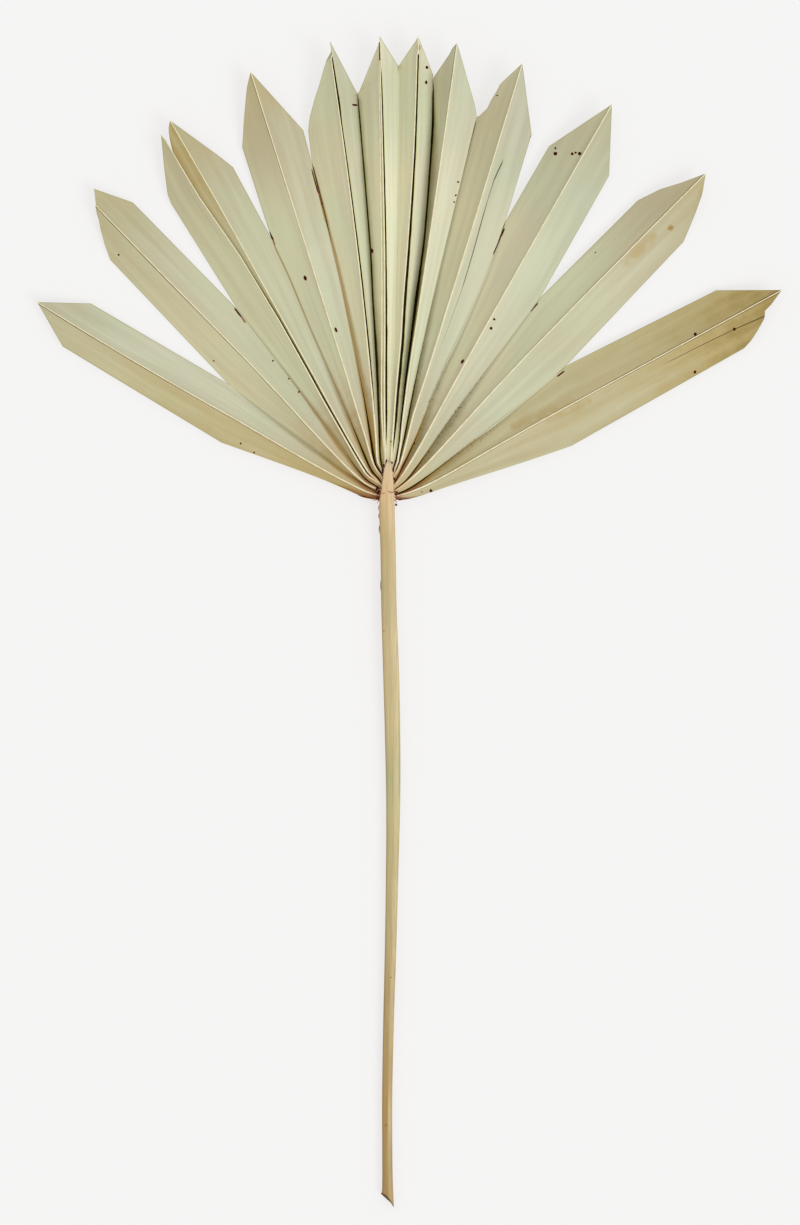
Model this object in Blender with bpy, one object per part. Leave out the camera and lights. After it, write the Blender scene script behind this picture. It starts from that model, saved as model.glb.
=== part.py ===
"""Fan palm leaf, dried, pressed open and cut to points, lying face up on a flat surface.

The leaf has two pieces: a pleated blade of twelve segments, and the petiole with the tongue that
lies over the roots of the pleats. Both are drawn about the hub, where blade and petiole meet, with
the tips towards +Y and the face towards +Z. The whole leaf is then moved so that its origin is at
the middle of its outline, on the surface that it lies on.
"""
import math

import bmesh
import bpy
import numpy as np
from mathutils import Vector

MM = 0.001

# Ribs from left to right: turn of the tip from the petiole's line in degrees, hub to tip in mm,
# sideways bow half way in mm, height of the crest over the surface in mm
RIBS = (
    (-62.5, 189.4, -2.5, 6.5),
    (-44.8, 199.6, -3.9, 7.0),
    (-30.9, 203.0, 0.0, 9.0),
    (-18.4, 208.0, -0.8, 10.0),
    (-7.4, 213.0, 1.9, 13.0),
    (-1.0, 213.6, 1.2, 14.5),
    (3.9, 214.1, 2.4, 15.0),
    (8.9, 213.3, 0.1, 14.5),
    (17.7, 211.2, 0.0, 12.0),
    (30.5, 211.1, -0.1, 9.5),
    (45.6, 212.8, -1.6, 8.0),
    (63.7, 210.4, -0.1, 7.0),
)

# Valleys between the ribs, with the leaf's two outer edges first and last: turn of the notch in
# degrees, hub to notch in mm, sideways bow half way in mm, height at the notch in mm
VALLEYS = (
    (-75.8, 82.2, 0.3, 2.4),
    (-57.7, 90.8, -0.8, 2.0),
    (-40.6, 111.3, 0.8, 2.0),
    (-25.3, 131.6, 0.6, 2.2),
    (-13.3, 158.8, 1.6, 2.4),
    (-4.5, 188.3, 0.9, 3.0),
    (1.4, 200.2, 1.8, 7.5),
    (6.3, 195.6, 3.2, 3.6),
    (13.6, 181.3, -1.2, 5.6),
    (24.0, 138.2, 2.3, 3.0),
    (39.1, 115.7, 0.4, 2.2),
    (56.2, 102.8, 2.0, 2.0),
    (78.0, 89.8, 0.6, 2.4),
)

# Shoulders, where the hand-cut point of each segment starts: distance back from the tip, distance
# out from the rib and height, in mm, on the left and then on the right. The leaf rests on the two
# lowest, on the second segment and the second last.
SHOULDERS = (
    ((20.8, 12.5, 2.2), (22.4, 12.1, 2.2)),
    ((29.4, 17.8, 0.9), (17.1, 9.0, 2.2)),
    ((34.2, 19.5, 2.2), (33.9, 14.9, 2.4)),
    ((32.5, 15.0, 2.2), (33.7, 15.4, 2.6)),
    ((39.7, 15.9, 2.6), (24.8, 9.6, 3.2)),
    ((24.8, 10.4, 3.2), (13.6, 8.6, 7.6)),
    ((14.4, 8.9, 7.6), (16.8, 8.3, 3.8)),
    ((17.4, 8.9, 3.8), (26.8, 12.7, 5.8)),
    ((30.5, 12.8, 5.8), (30.3, 14.3, 3.2)),
    ((31.8, 16.3, 3.0), (29.7, 15.7, 2.4)),
    ((31.4, 14.3, 2.2), (30.1, 15.2, 0.9)),
    ((27.5, 14.8, 2.2), (28.8, 16.1, 2.2)),
)

# The third segment is torn lengthwise, left of its rib: the torn edge's own line as in RIBS, and
# how far before its tip the strip between the tear and the rib comes out from under it
TORN_SEGMENT = 2
TORN_EDGE = (-32.9, 199.4, 1.2, 9.0)
TORN_STRIP_BACK = 7.5
TORN_STRIP_SINK = 1.2

# Lamina, the thin sheet between two ribs
LAMINA_THICKNESS = 0.68
LAMINA_CROWN = 0.35
STEEPEST = 0.24
BEAD_HALF_WIDTH = 0.6
BEAD_HEIGHT = 0.6
BEAD_SHARE = 0.35
BEAD_ROWS = 3
STRIP_COLUMNS = 3
MERGE_DISTANCE = 0.00002

# Roots of the pleats, along both sides of the tongue
FAN_HALF_TURN = 78.0
ROOT_HALF_WIDTH = 3.6
ROOT_TOP = 9.0
ROOT_FALL = 16.0
ROOT_LEVEL = 4.6

# Rows of a segment from its root to the notch, on to the shoulder and on to the tip
JOINED_ROWS = 7
FREE_ROWS = 2
CUT_ROWS = 2

# Petiole, from the cut end to the neck and then the tongue: place along Y, sideways place, width,
# underside and upper side, all in mm
PETIOLE = (
    (-343.6, -0.3, 6.3, 0.0, 3.9),
    (-338.0, -0.2, 5.3, 0.0, 4.1),
    (-325.0, -0.3, 4.9, 0.0, 4.1),
    (-295.0, -0.4, 4.9, 0.0, 4.2),
    (-260.0, 0.2, 5.1, 0.1, 4.3),
    (-223.0, 1.2, 5.5, 0.2, 4.5),
    (-185.0, 2.0, 6.0, 0.3, 4.8),
    (-150.0, 2.5, 6.8, 0.4, 5.2),
    (-120.0, 2.2, 7.4, 0.5, 5.6),
    (-90.0, 1.5, 7.7, 0.6, 6.0),
    (-60.0, 0.5, 7.4, 0.8, 6.4),
    (-30.0, 0.0, 7.3, 1.0, 6.8),
    (-14.0, -0.6, 7.8, 1.2, 7.1),
    (-9.3, -0.8, 8.2, 1.4, 7.2),
    (-9.0, -0.8, 8.2, 5.1, 7.2),
    (-4.0, -0.6, 7.6, 5.3, 7.3),
    (2.0, -0.4, 5.6, 5.4, 7.3),
    (6.5, -0.1, 4.2, 5.6, 7.2),
    (9.5, 0.0, 2.6, 5.7, 6.9),
    (10.6, 0.1, 1.2, 5.8, 6.6),
)
PETIOLE_SIDES = 10
END_SLANT = -1.05
SECTION_POWER = 0.8

BLADE_COLOUR = (0.52, 0.50, 0.34, 1.0)
PETIOLE_COLOUR = (0.60, 0.46, 0.26, 1.0)
DRY_ROUGHNESS = 0.62


def clear_scene():
    """Remove every object, so that the leaf stands alone."""
    for item in list(bpy.data.objects):
        bpy.data.objects.remove(item, do_unlink=True)


def dry_material(name, colour):
    """Matt dry plant matter of one colour."""
    material = bpy.data.materials.new(name)
    material.use_nodes = True
    shader = material.node_tree.nodes["Principled BSDF"]
    shader.inputs["Base Color"].default_value = colour
    shader.inputs["Roughness"].default_value = DRY_ROUGHNESS
    shader.inputs["Metallic"].default_value = 0.0
    return material


def turned(turn, distance, height):
    """Point at a turn from the petiole's line, a distance from the hub and a height."""
    angle = math.radians(turn)
    return Vector((distance * math.sin(angle), distance * math.cos(angle), height))


def root(turn):
    """Where a rib or a valley starts, beside the tongue."""
    share = min(1.0, abs(turn) / FAN_HALF_TURN)
    side = math.copysign(ROOT_HALF_WIDTH * share ** 0.4, turn)
    return Vector((side, ROOT_TOP - ROOT_FALL * share ** 0.5, ROOT_LEVEL))


def bowed(start, end, bow, share):
    """Point on the line from start to end, pushed sideways by the bow."""
    along = (end - start).to_2d().normalized()
    across = Vector((along.y, -along.x, 0.0))
    return start.lerp(end, share) + across * bow * 4.0 * share * (1.0 - share)


def shoulder_point(line, back, out, height):
    """Shoulder of a segment, from the straight line between its root and its tip."""
    start = root(line[0])
    tip = turned(line[0], line[1], line[3])
    along = (tip - start).to_2d().normalized()
    place = tip.to_2d() - along * back + Vector((along.y, -along.x)) * out
    return Vector((place.x, place.y, height))


def edge_rows(valley, shoulder, tip):
    """Points of a segment's outer line: up the valley to the notch, to the shoulder, to the tip."""
    turn, length, bow, height = valley
    start = root(turn)
    notch = turned(turn, length, height)
    rows = [bowed(start, notch, bow, row / JOINED_ROWS) for row in range(JOINED_ROWS)]
    rows += [notch.lerp(shoulder, row / FREE_ROWS) for row in range(FREE_ROWS)]
    rows += [shoulder.lerp(tip, row / CUT_ROWS) for row in range(CUT_ROWS + 1)]
    return rows


def crest_rows(line, left_edge, right_edge):
    """Points of a rib, abreast of the rows of the two edges beside it."""
    turn, length, bow, height = line
    start = root(turn)
    tip = turned(turn, length, height)
    along = (tip - start).to_2d()
    notch_row = JOINED_ROWS
    rows = []
    for row, (left, right) in enumerate(zip(left_edge, right_edge)):
        middle = (left + right) / 2.0
        share = (middle - start).to_2d().dot(along) / along.length_squared
        if row == 0:
            share = 0.0
        if row == len(left_edge) - 1:
            share = 1.0
        point = bowed(start, tip, bow, share)
        point.z = ROOT_LEVEL + (height - ROOT_LEVEL) * min(1.0, row / notch_row)
        rows.append(point)
    return rows


def bead_height(row, last_row):
    """Height of the rib's bead over its two laminas: it starts low at the root and ends at the tip."""
    if row == last_row:
        return 0.0
    return BEAD_HEIGHT * min(1.0, (row + 0.5) / BEAD_ROWS)


def strip_point(outer, inner, column, bead, sink):
    """Point across a strip: its outer line, its middle, the foot of the bead, the crest."""
    width = (inner - outer).to_2d().length
    if column == 0:
        return outer.copy()
    if column == STRIP_COLUMNS:
        return inner + Vector((0.0, 0.0, bead))
    share = 0.5
    lift = min(LAMINA_CROWN, width * 0.1)
    if column == STRIP_COLUMNS - 1 and width > 0.0:
        share = 1.0 - min(BEAD_HALF_WIDTH, width * BEAD_SHARE) / width
        lift = 0.0
    return outer.lerp(inner, share) + Vector((0.0, 0.0, lift - sink))


def lay_strip(mesh, outer, inner, beaded=True, sink=0.0):
    """Half a segment: a grid laid between its outer line and its rib."""
    last_row = len(outer) - 1
    grid = bmesh.ops.create_grid(mesh, x_segments=STRIP_COLUMNS, y_segments=last_row, size=0.5)
    for vertex in grid["verts"]:
        column = round((vertex.co.x + 0.5) * STRIP_COLUMNS)
        row = round((vertex.co.y + 0.5) * last_row)
        bead = bead_height(row, last_row) if beaded else 0.0
        depth = sink * min(1.0, row / JOINED_ROWS)
        vertex.co = strip_point(outer[row], inner[row], column, bead, depth) * MM


def thicken(mesh):
    """Give the sheet its thickness, downwards, measured square to each pleat."""
    depths = {}
    for vertex in mesh.verts:
        flattest = min(abs(face.normal.z) for face in vertex.link_faces)
        depths[vertex.co.to_tuple(7)] = LAMINA_THICKNESS / max(STEEPEST, flattest)
    sheet = mesh.verts[:] + mesh.edges[:] + mesh.faces[:]
    result = bmesh.ops.extrude_face_region(mesh, geom=sheet, use_keep_orig=True)
    for item in result["geom"]:
        if isinstance(item, bmesh.types.BMVert):
            item.co.z -= depths[item.co.to_tuple(7)] * MM
    bmesh.ops.recalc_face_normals(mesh, faces=mesh.faces[:])


def finish_object(name, mesh, material):
    """Turn the edited mesh into a named object with its material."""
    data = bpy.data.meshes.new(name)
    mesh.to_mesh(data)
    mesh.free()
    data.materials.append(material)
    return bpy.data.objects.new(name, data)


def lay_torn_half(mesh, index, shoulder, crest):
    """Left half of the torn segment: the loose outer piece, and the strip between tear and rib."""
    torn_tip = turned(TORN_EDGE[0], TORN_EDGE[1], TORN_EDGE[3])
    edge = edge_rows(VALLEYS[index], shoulder, torn_tip)
    torn = crest_rows(TORN_EDGE, edge, crest)
    torn[-1] = torn_tip
    torn[-2] = torn_tip.lerp(torn[-3], TORN_STRIP_BACK / (torn_tip - torn[-3]).length)
    lay_strip(mesh, edge, torn, beaded=False)
    lay_strip(mesh, torn[:-1] + [torn[-2]], crest, sink=TORN_STRIP_SINK)


def make_blade():
    """Twelve segments in one sheet, joined along the valleys as far as the notches."""
    mesh = bmesh.new()
    for index, line in enumerate(RIBS):
        tip = turned(line[0], line[1], line[3])
        (left_back, left_out, left_height), (right_back, right_out, right_height) = SHOULDERS[index]
        left_shoulder = shoulder_point(line, left_back, -left_out, left_height)
        right_shoulder = shoulder_point(line, right_back, right_out, right_height)
        left_edge = edge_rows(VALLEYS[index], left_shoulder, tip)
        right_edge = edge_rows(VALLEYS[index + 1], right_shoulder, tip)
        crest = crest_rows(line, left_edge, right_edge)
        lay_strip(mesh, right_edge, crest)
        if index == TORN_SEGMENT:
            lay_torn_half(mesh, index, left_shoulder, crest)
        else:
            lay_strip(mesh, left_edge, crest)
    bmesh.ops.remove_doubles(mesh, verts=mesh.verts[:], dist=MERGE_DISTANCE)
    bmesh.ops.triangulate(mesh, faces=mesh.faces[:])
    mesh.normal_update()
    thicken(mesh)
    return finish_object("blade", mesh, dry_material("dry_blade", BLADE_COLOUR))


def rounded(value):
    """Cosine or sine of a section's angle, filled out towards a box with round corners."""
    return math.copysign(abs(value) ** SECTION_POWER, value)


def make_petiole():
    """A cylinder along Y, cut into rings, each ring fitted to the stalk's width and thickness."""
    stations = np.array(PETIOLE)
    rings = len(stations)
    mesh = bmesh.new()
    bmesh.ops.create_cone(
        mesh,
        segments=PETIOLE_SIDES,
        radius1=1.0,
        radius2=1.0,
        depth=2.0,
        cap_ends=True,
        cap_tris=False,
    )
    long_edges = [edge for edge in mesh.edges if abs(edge.verts[0].co.z - edge.verts[1].co.z) > 1.0]
    bmesh.ops.subdivide_edges(mesh, edges=long_edges, cuts=rings - 2, use_grid_fill=True)
    for vertex in mesh.verts:
        ring = round((vertex.co.z + 1.0) / 2.0 * (rings - 1))
        along, side, width, under, upper = stations[ring]
        angle = math.atan2(vertex.co.y, vertex.co.x) + math.pi / PETIOLE_SIDES
        across = rounded(math.cos(angle)) * width / 2.0
        height = (under + upper) / 2.0 + rounded(math.sin(angle)) * (upper - under) / 2.0
        if ring == 0:
            along += across * END_SLANT
        vertex.co = Vector((side + across, along, height)) * MM
    bmesh.ops.recalc_face_normals(mesh, faces=mesh.faces[:])
    return finish_object("petiole", mesh, dry_material("dry_petiole", PETIOLE_COLOUR))


def set_origin(pieces, leaf):
    """Bring the middle of the leaf's outline, at its lowest level, to the origin."""
    points = [vertex.co for piece in pieces for vertex in piece.data.vertices]
    low = Vector([min(point[axis] for point in points) for axis in range(3)])
    high = Vector([max(point[axis] for point in points) for axis in range(3)])
    middle = (low + high) / 2.0
    leaf.location = (-middle.x, -middle.y, -low.z)


def build_leaf():
    """The whole leaf, in its own collection, both pieces under one empty at the hub."""
    clear_scene()
    collection = bpy.data.collections.new("fan_palm_leaf")
    bpy.context.scene.collection.children.link(collection)
    leaf = bpy.data.objects.new("leaf", None)
    collection.objects.link(leaf)
    pieces = [make_blade(), make_petiole()]
    for piece in pieces:
        collection.objects.link(piece)
        piece.parent = leaf
    set_origin(pieces, leaf)


build_leaf()
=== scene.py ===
import math

import bmesh
import bpy
import numpy as np
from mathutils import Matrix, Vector, noise


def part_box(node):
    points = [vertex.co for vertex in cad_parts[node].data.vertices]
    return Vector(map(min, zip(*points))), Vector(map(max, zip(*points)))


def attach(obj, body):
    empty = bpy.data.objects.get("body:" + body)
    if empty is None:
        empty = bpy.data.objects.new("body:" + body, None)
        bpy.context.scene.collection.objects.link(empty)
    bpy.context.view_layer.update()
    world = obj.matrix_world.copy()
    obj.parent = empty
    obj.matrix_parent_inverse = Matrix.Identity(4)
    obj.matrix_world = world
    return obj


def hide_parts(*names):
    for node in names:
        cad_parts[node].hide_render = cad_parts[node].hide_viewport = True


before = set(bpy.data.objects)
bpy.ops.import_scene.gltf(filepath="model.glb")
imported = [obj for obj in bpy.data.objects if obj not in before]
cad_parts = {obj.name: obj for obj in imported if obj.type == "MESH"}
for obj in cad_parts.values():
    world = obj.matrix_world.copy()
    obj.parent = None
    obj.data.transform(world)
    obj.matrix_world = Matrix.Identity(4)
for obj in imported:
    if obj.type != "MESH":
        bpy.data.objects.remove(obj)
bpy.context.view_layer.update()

# Blade
# The pleated sheet of the fan, one dried lamina that the palm grew folded and that was pressed open.
# Each segment is a strap with a rib up its middle, joined to its neighbours in the valleys as far as
# a notch, then free, and cut by hand to a point. It is grey-green, with tan and golden patches.
MM = 0.001
LEFT, RIGHT, STRIP = 0, 1, 2

# Ribs from left to right: turn from the petiole's line in degrees, hub to tip in mm, sideways bow
# half way in mm, flare beside the tongue in mm, height of the crest in mm
RIBS = (
    (-62.5, 189.4, -2.2, -0.7, 6.5),
    (-44.8, 199.6, -1.0, -2.4, 7.0),
    (-30.9, 203.0, 0.0, -1.3, 9.0),
    (-18.4, 208.0, -0.6, 0.0, 10.0),
    (-7.4, 213.0, 1.5, -1.4, 13.0),
    (-1.0, 213.6, 1.2, 0.8, 14.5),
    (3.9, 214.1, 2.4, 1.0, 15.0),
    (8.9, 213.3, 1.0, 0.3, 14.5),
    (17.7, 211.2, 0.6, -0.8, 12.0),
    (30.5, 211.1, 0.1, 1.4, 9.5),
    (45.6, 212.8, -0.6, 2.0, 8.0),
    (63.7, 210.4, 0.6, 2.4, 7.0),
)

# Valleys, with the two outer edges first and last: turn of the notch, hub to notch, bow, flare,
# height, and how far back from the notch the two segments have split apart, in mm
VALLEYS = (
    (-75.8, 82.2, 0.0, -1.8, 2.4, 0.0),
    (-57.7, 90.8, -0.7, 0.0, 2.0, 0.0),
    (-40.6, 111.3, 0.2, -1.4, 2.0, 7.6),
    (-25.3, 131.6, 0.6, -1.2, 2.2, 5.4),
    (-13.3, 158.8, 0.9, -0.9, 2.4, 34.0),
    (-4.5, 188.3, 0.6, -0.5, 3.0, 12.0),
    (1.4, 200.2, 1.5, 0.5, 7.5, 0.0),
    (6.3, 195.6, 3.5, 1.2, 3.6, 8.0),
    (13.6, 181.3, -0.8, 1.5, 5.6, 22.0),
    (24.0, 138.2, 2.8, 1.0, 3.0, 17.0),
    (39.1, 115.7, 0.4, 2.1, 2.2, 7.0),
    (56.2, 102.8, 2.0, 1.5, 2.0, 7.0),
    (78.0, 89.8, 1.0, 1.4, 2.4, 0.0),
)

# Shoulders, where each cut starts: back from the tip, out from the rib and height, left then right
SHOULDERS = (
    ((20.8, 12.5, 2.2), (22.4, 12.1, 2.2)),
    ((29.4, 17.8, 0.9), (17.1, 9.0, 2.2)),
    ((34.2, 19.5, 2.2), (33.9, 14.9, 2.4)),
    ((32.5, 15.0, 2.2), (33.7, 15.4, 2.6)),
    ((39.7, 15.9, 2.6), (24.8, 9.6, 3.2)),
    ((24.8, 10.4, 3.2), (13.6, 8.6, 7.6)),
    ((14.4, 8.9, 7.6), (16.8, 8.3, 3.8)),
    ((17.4, 8.9, 3.8), (26.8, 12.7, 5.8)),
    ((30.5, 12.8, 5.8), (30.3, 14.3, 3.2)),
    ((31.8, 16.3, 3.0), (29.7, 15.7, 2.4)),
    ((31.4, 14.3, 2.2), (30.1, 15.2, 0.9)),
    ((27.5, 14.8, 2.2), (28.8, 16.1, 2.2)),
)

# Corners of the cuts that aren't straight, from the shoulder on: back from the tip and out
CUT_CORNERS = {
    (1, LEFT): ((22.4, 14.7), (15.9, 11.2)),
    (2, LEFT): ((29.6, 18.8), (18.5, 14.1)),
    (2, RIGHT): ((26.3, 11.9),),
    (3, LEFT): ((20.0, 10.0), (6.7, 4.2)),
    (4, LEFT): ((33.5, 14.4), (25.2, 10.9), (18.4, 7.6), (9.2, 3.6)),
    (7, LEFT): ((4.9, 2.5), (3.4, 2.3)),
    (8, LEFT): ((25.2, 9.7), (20.9, 9.1), (15.5, 7.7), (12.3, 7.2)),
    (10, LEFT): ((20.3, 10.4), (11.5, 5.5)),
    (10, RIGHT): ((17.1, 10.0), (7.9, 5.7)),
    (11, RIGHT): ((24.0, 14.4), (18.5, 11.3), (12.6, 7.4), (12.6, 5.3), (8.0, 3.9)),
}

# Ribs that stop short of the tip: the second one leaves it to the right half of its segment, and
# the left halves of the two next to the middle are cut shorter, in mm
SECOND_RIB_END = (-46.3, 193.2)
LEFT_SHORT = {4: 5.2, 5: 1.6}

# Tear beside the third rib: the left half is a flap with a tip of its own over a sunken strip.
# Its edge, back from the tip and left of the rib, and how far the strip lies under the flap.
TORN = 2
FLAP_TIP = (3.6, 7.1)
FLAP_EDGE = ((20.0, 6.6), (39.0, 6.4), (55.8, 4.8), (72.3, 3.2), (85.8, 2.6), (108.5, 1.8),
             (152.7, 1.8), (175.0, 1.5))
STRIP_TIP_BACK = 10.7
STRIP_SINK = 1.7
FLAP_LIFT = 0.4

# Long tear in the right half of the ninth segment: hub distance and place right of the rib
LONG_TEAR = ((58, 2.4), (75, 4.6), (84, 5.2), (104, 6.4), (122, 6.1), (142, 5.2), (162, 5.6),
             (168, 5.8))
LONG_TEAR_HALF = (8, RIGHT)
TEAR_DEPTH = 0.5
TEAR_LAP = 0.3
TEAR_WIDTHS = ((58, 0), (66, 0.35), (95, 0.5), (150, 0.5), (156, 0.8), (163, 0.8), (166, 0))

# Hub distances over which it opens and closes
TEAR_OPENS = (56.0, 70.0)
TEAR_CLOSES = (158.0, 170.0)

# Furrows to the right of the three middle ribs, whose right halves have sunk away from them:
# hub distance and reach from the middle of the rib in mm. Here and in the tables below, a half is
# named by its segment, counted from nought on the left, and its side.
FURROWS = {
    (4, RIGHT): ((22, 0), (37, 1.2), (50, 1.8), (68, 2.1), (85, 2.0), (110, 1.8), (160, 1.5),
                 (206, 1.2)),
    (5, RIGHT): ((14, 0), (22, 0.9), (35, 1.5), (60, 1.5), (80, 1.35), (110, 1.2), (160, 1.15),
                 (194, 0.95), (202, 0)),
    (6, RIGHT): ((10, 0), (22, 1.2), (35, 1.7), (60, 1.75), (86, 1.75), (110, 1.5), (160, 1.2),
                 (206, 0.95)),
}
FURROW_DEPTH = 1.5

# Shares of its reach between which a furrow is deepest
FURROW_FLOOR = (0.3, 0.7)

# How far the ribs beside them have moved to the left, over half the furrow's reach, in mm
RIB_SHIFTS = {4: 0.3, 5: 0.1, 6: 0.05}

# How far ribs and valleys wander to the right of their bows: hub distance and shift in mm. Under the
# tongue they keep to their bows.
NOWHERE = ((0, 0),)
SWAY_START = 4.0
SWAY_FULL = 11.0
RIB_SWAYS = {
    0: ((0, -0.9), (30, -0.9), (80, 0)),
    1: ((0, -0.9), (50, -0.85), (90, 0)),
    2: ((0, -1.3), (50, -1.4), (80, -1.2), (110, -0.9), (160, 0)),
    3: ((0, -2.0), (17, -1.9), (24, -1.5), (44, -1.1), (56, -0.7), (120, 0)),
    4: ((0, -1.9), (14, -1.9), (22, -1.2), (31, -0.4), (41, 0)),
    5: ((0, -1.25), (22, -1.25), (50, -0.95), (70, -0.5), (112, 0)),
    6: ((0, -0.6), (20, -1.0), (45, -1.15), (70, -0.6), (89, -0.85), (113, -0.55), (160, 0)),
    7: ((0, 1.7), (14, 1.6), (22, 1.4), (31, 0.75), (50, 0.1), (60, 0)),
    8: ((0, 1.9), (16, 1.8), (25, 1.3), (36, 0.5), (60, 0.4), (90, 0)),
}
VALLEY_SWAYS = {
    1: ((0, -0.5), (40, -0.8), (90, 0)),
    2: ((0, -1.4), (18, -1.9), (45, -1.4), (111, 0)),
    3: ((0, -1.3), (60, -1.3), (84, -1.1), (110, 0)),
    4: ((0, -2.4), (14, -2.4), (22, -1.9), (41, -1.2), (100, 0)),
    5: ((0, -1.9), (14, -1.9), (31, -1.4), (50, -1.1), (89, -0.65), (112, 0)),
    7: ((0, 0.2), (14, 0.2), (22, 0), (31, -0.7), (50, -1.0), (89, -0.65), (118, 0.5),
        (175, 0.6), (195, 0)),
    9: ((0, -0.5), (15, -0.8), (29, -1.1), (35, -1.5), (41, -1.9), (46, -2.3), (66, -2.0),
        (90, -0.8), (115, 0)),
}

FAN_HALF_TURN = 78.0
ROOT_HALF_WIDTH = 3.6
ROOT_TOP = 9.0
ROOT_FALL = 16.0
ROOT_LEVEL = 4.6
CREST_RISE = 1.35
FLARE_PLACE = 0.1
SLIT_HALF_GAP = 0.02
LAMINA_SAG = 0.6
LAMINA_WAVE = 0.5
LAMINA_RIPPLE = 0.12
FULL_WIDTH = 13.0
LAMINA_THICKNESS = 0.4
JOINED_ROWS = 46
FREE_ROWS = 22
FEW_FREE_ROWS = {5: 2, 6: 3}
CUT_ROWS = 16
CROSS_STEPS = (0.0, 0.02, 0.045, 0.08, 0.13, 0.2, 0.3, 0.42, 0.55, 0.67, 0.76, 0.83, 0.88, 0.92, 0.95, 0.97,
               0.985, 1.0)


def fan_point(turn, distance, height):
    """Point of the leaf by turn from the petiole's line, distance from the hub and height, in mm."""
    angle = math.radians(turn)
    return Vector((distance * math.sin(angle), distance * math.cos(angle), height))


leaf_left = fan_point(*RIBS[0][:2], 0.0).x
leaf_top = max(fan_point(rib[0], rib[1], 0.0).y for rib in RIBS)
blade_low, blade_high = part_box("blade")
hub = Vector((blade_low.x - leaf_left * MM, blade_high.y - leaf_top * MM, 0.0))


def to_world(point):
    """Leaf millimetres about the hub to metres in the frame."""
    return hub + point * MM


def smooth(low, high, value):
    """Smooth step from nought at low to one at high."""
    share = min(1.0, max(0.0, (value - low) / (high - low)))
    return share * share * (3.0 - 2.0 * share)


def along_table(table, place):
    """Value at a place from a table of places and values, nought outside it."""
    places, values = zip(*sorted(table))
    return float(np.interp(place, places, values, left=0.0, right=0.0))


def line_value(line, place):
    """Value at a place from a line of places and values, held beyond its ends."""
    return float(np.interp(place, *zip(*line)))


def root_point(turn):
    """Where a rib or valley starts, beside the tongue."""
    share = min(1.0, abs(turn) / FAN_HALF_TURN)
    side = math.copysign(ROOT_HALF_WIDTH * share ** 0.4, turn)
    return Vector((side, ROOT_TOP - ROOT_FALL * share ** 0.5, ROOT_LEVEL))


def across(start, end):
    """Unit vector to the right of the way from start to end, level."""
    along = (end - start).to_2d().normalized()
    return Vector((along.y, -along.x, 0.0))


def bowed(start, end, bow, flare, share):
    """Point on the way from start to end, pushed sideways by the bow and by the flare at the root."""
    root_share = share / FLARE_PLACE
    push = bow * 4.0 * share * (1.0 - share) + flare * root_share * math.exp(1.0 - root_share)
    return start.lerp(end, share) + across(start, end) * push


def beside_rib(index, back, out, height):
    """Point by its distance back from the tip along the rib's chord and out to the right of it."""
    turn, length = RIBS[index][:2]
    start = root_point(turn)
    tip = fan_point(turn, length, 0.0)
    along = (tip - start).to_2d().normalized()
    place = tip.to_2d() - along * back + across(start, tip).to_2d() * out
    return Vector((place.x, place.y, height))


def half_tip(index, side):
    """Where the cut of one side of a segment ends."""
    turn, length = RIBS[index][:2]
    height = RIBS[index][-1]
    if index == 1 and side == LEFT:
        return fan_point(*SECOND_RIB_END, height)
    if index == TORN and side == LEFT:
        return beside_rib(index, FLAP_TIP[0], -FLAP_TIP[1], height + FLAP_LIFT)
    if side == LEFT and index in LEFT_SHORT:
        return fan_point(turn, length - LEFT_SHORT[index], height)
    return fan_point(turn, length, height)


def sway_of(table, index, distance):
    """Shift of a rib or a valley to its right, fading out under the tongue."""
    return along_table(table.get(index, NOWHERE), distance) * smooth(SWAY_START, SWAY_FULL, distance)


def edge_rows(index, side):
    """Outer line of one side of a segment: valley, slit, free edge, cut."""
    turn, length, bow, flare, height, slit = VALLEYS[index + side]
    start = root_point(turn)
    notch = fan_point(turn, length, height)
    outward = 1.0 if side == RIGHT else -1.0
    away = across(start, notch) * -outward
    rows = []
    for row in range(JOINED_ROWS):
        share = row / JOINED_ROWS
        point = bowed(start, notch, bow, flare, share)
        sway = sway_of(VALLEY_SWAYS, index + side, point.to_2d().length)
        point += across(start, notch) * sway
        from_notch = length * (1.0 - share)
        if slit > from_notch:
            point += away * SLIT_HALF_GAP * (1.0 - from_notch / slit)
        rows.append(point)
    if slit > 0.0:
        notch = notch + away * SLIT_HALF_GAP
    back, out, shoulder_height = SHOULDERS[index][side]
    shoulder = beside_rib(index, back, out * outward, shoulder_height)
    free_rows = FEW_FREE_ROWS.get(index, FREE_ROWS)
    rows += [notch.lerp(shoulder, row / free_rows) for row in range(free_rows)]
    tip = half_tip(index, side)
    corners = [shoulder]
    for corner_back, corner_out in CUT_CORNERS.get((index, side), ()):
        rise = 1.0 - corner_back / back
        level = shoulder_height + (tip.z - shoulder_height) * rise
        corners.append(beside_rib(index, corner_back, corner_out * outward, level))
    corners.append(tip)
    lengths = [0.0]
    for before, after in zip(corners, corners[1:]):
        lengths.append(lengths[-1] + (after - before).length)
    for row in range(CUT_ROWS + 1):
        place = lengths[-1] * row / CUT_ROWS
        rows.append(Vector([float(np.interp(place, lengths, [corner[axis] for corner in corners]))
                            for axis in range(3)]))
    return rows


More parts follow.
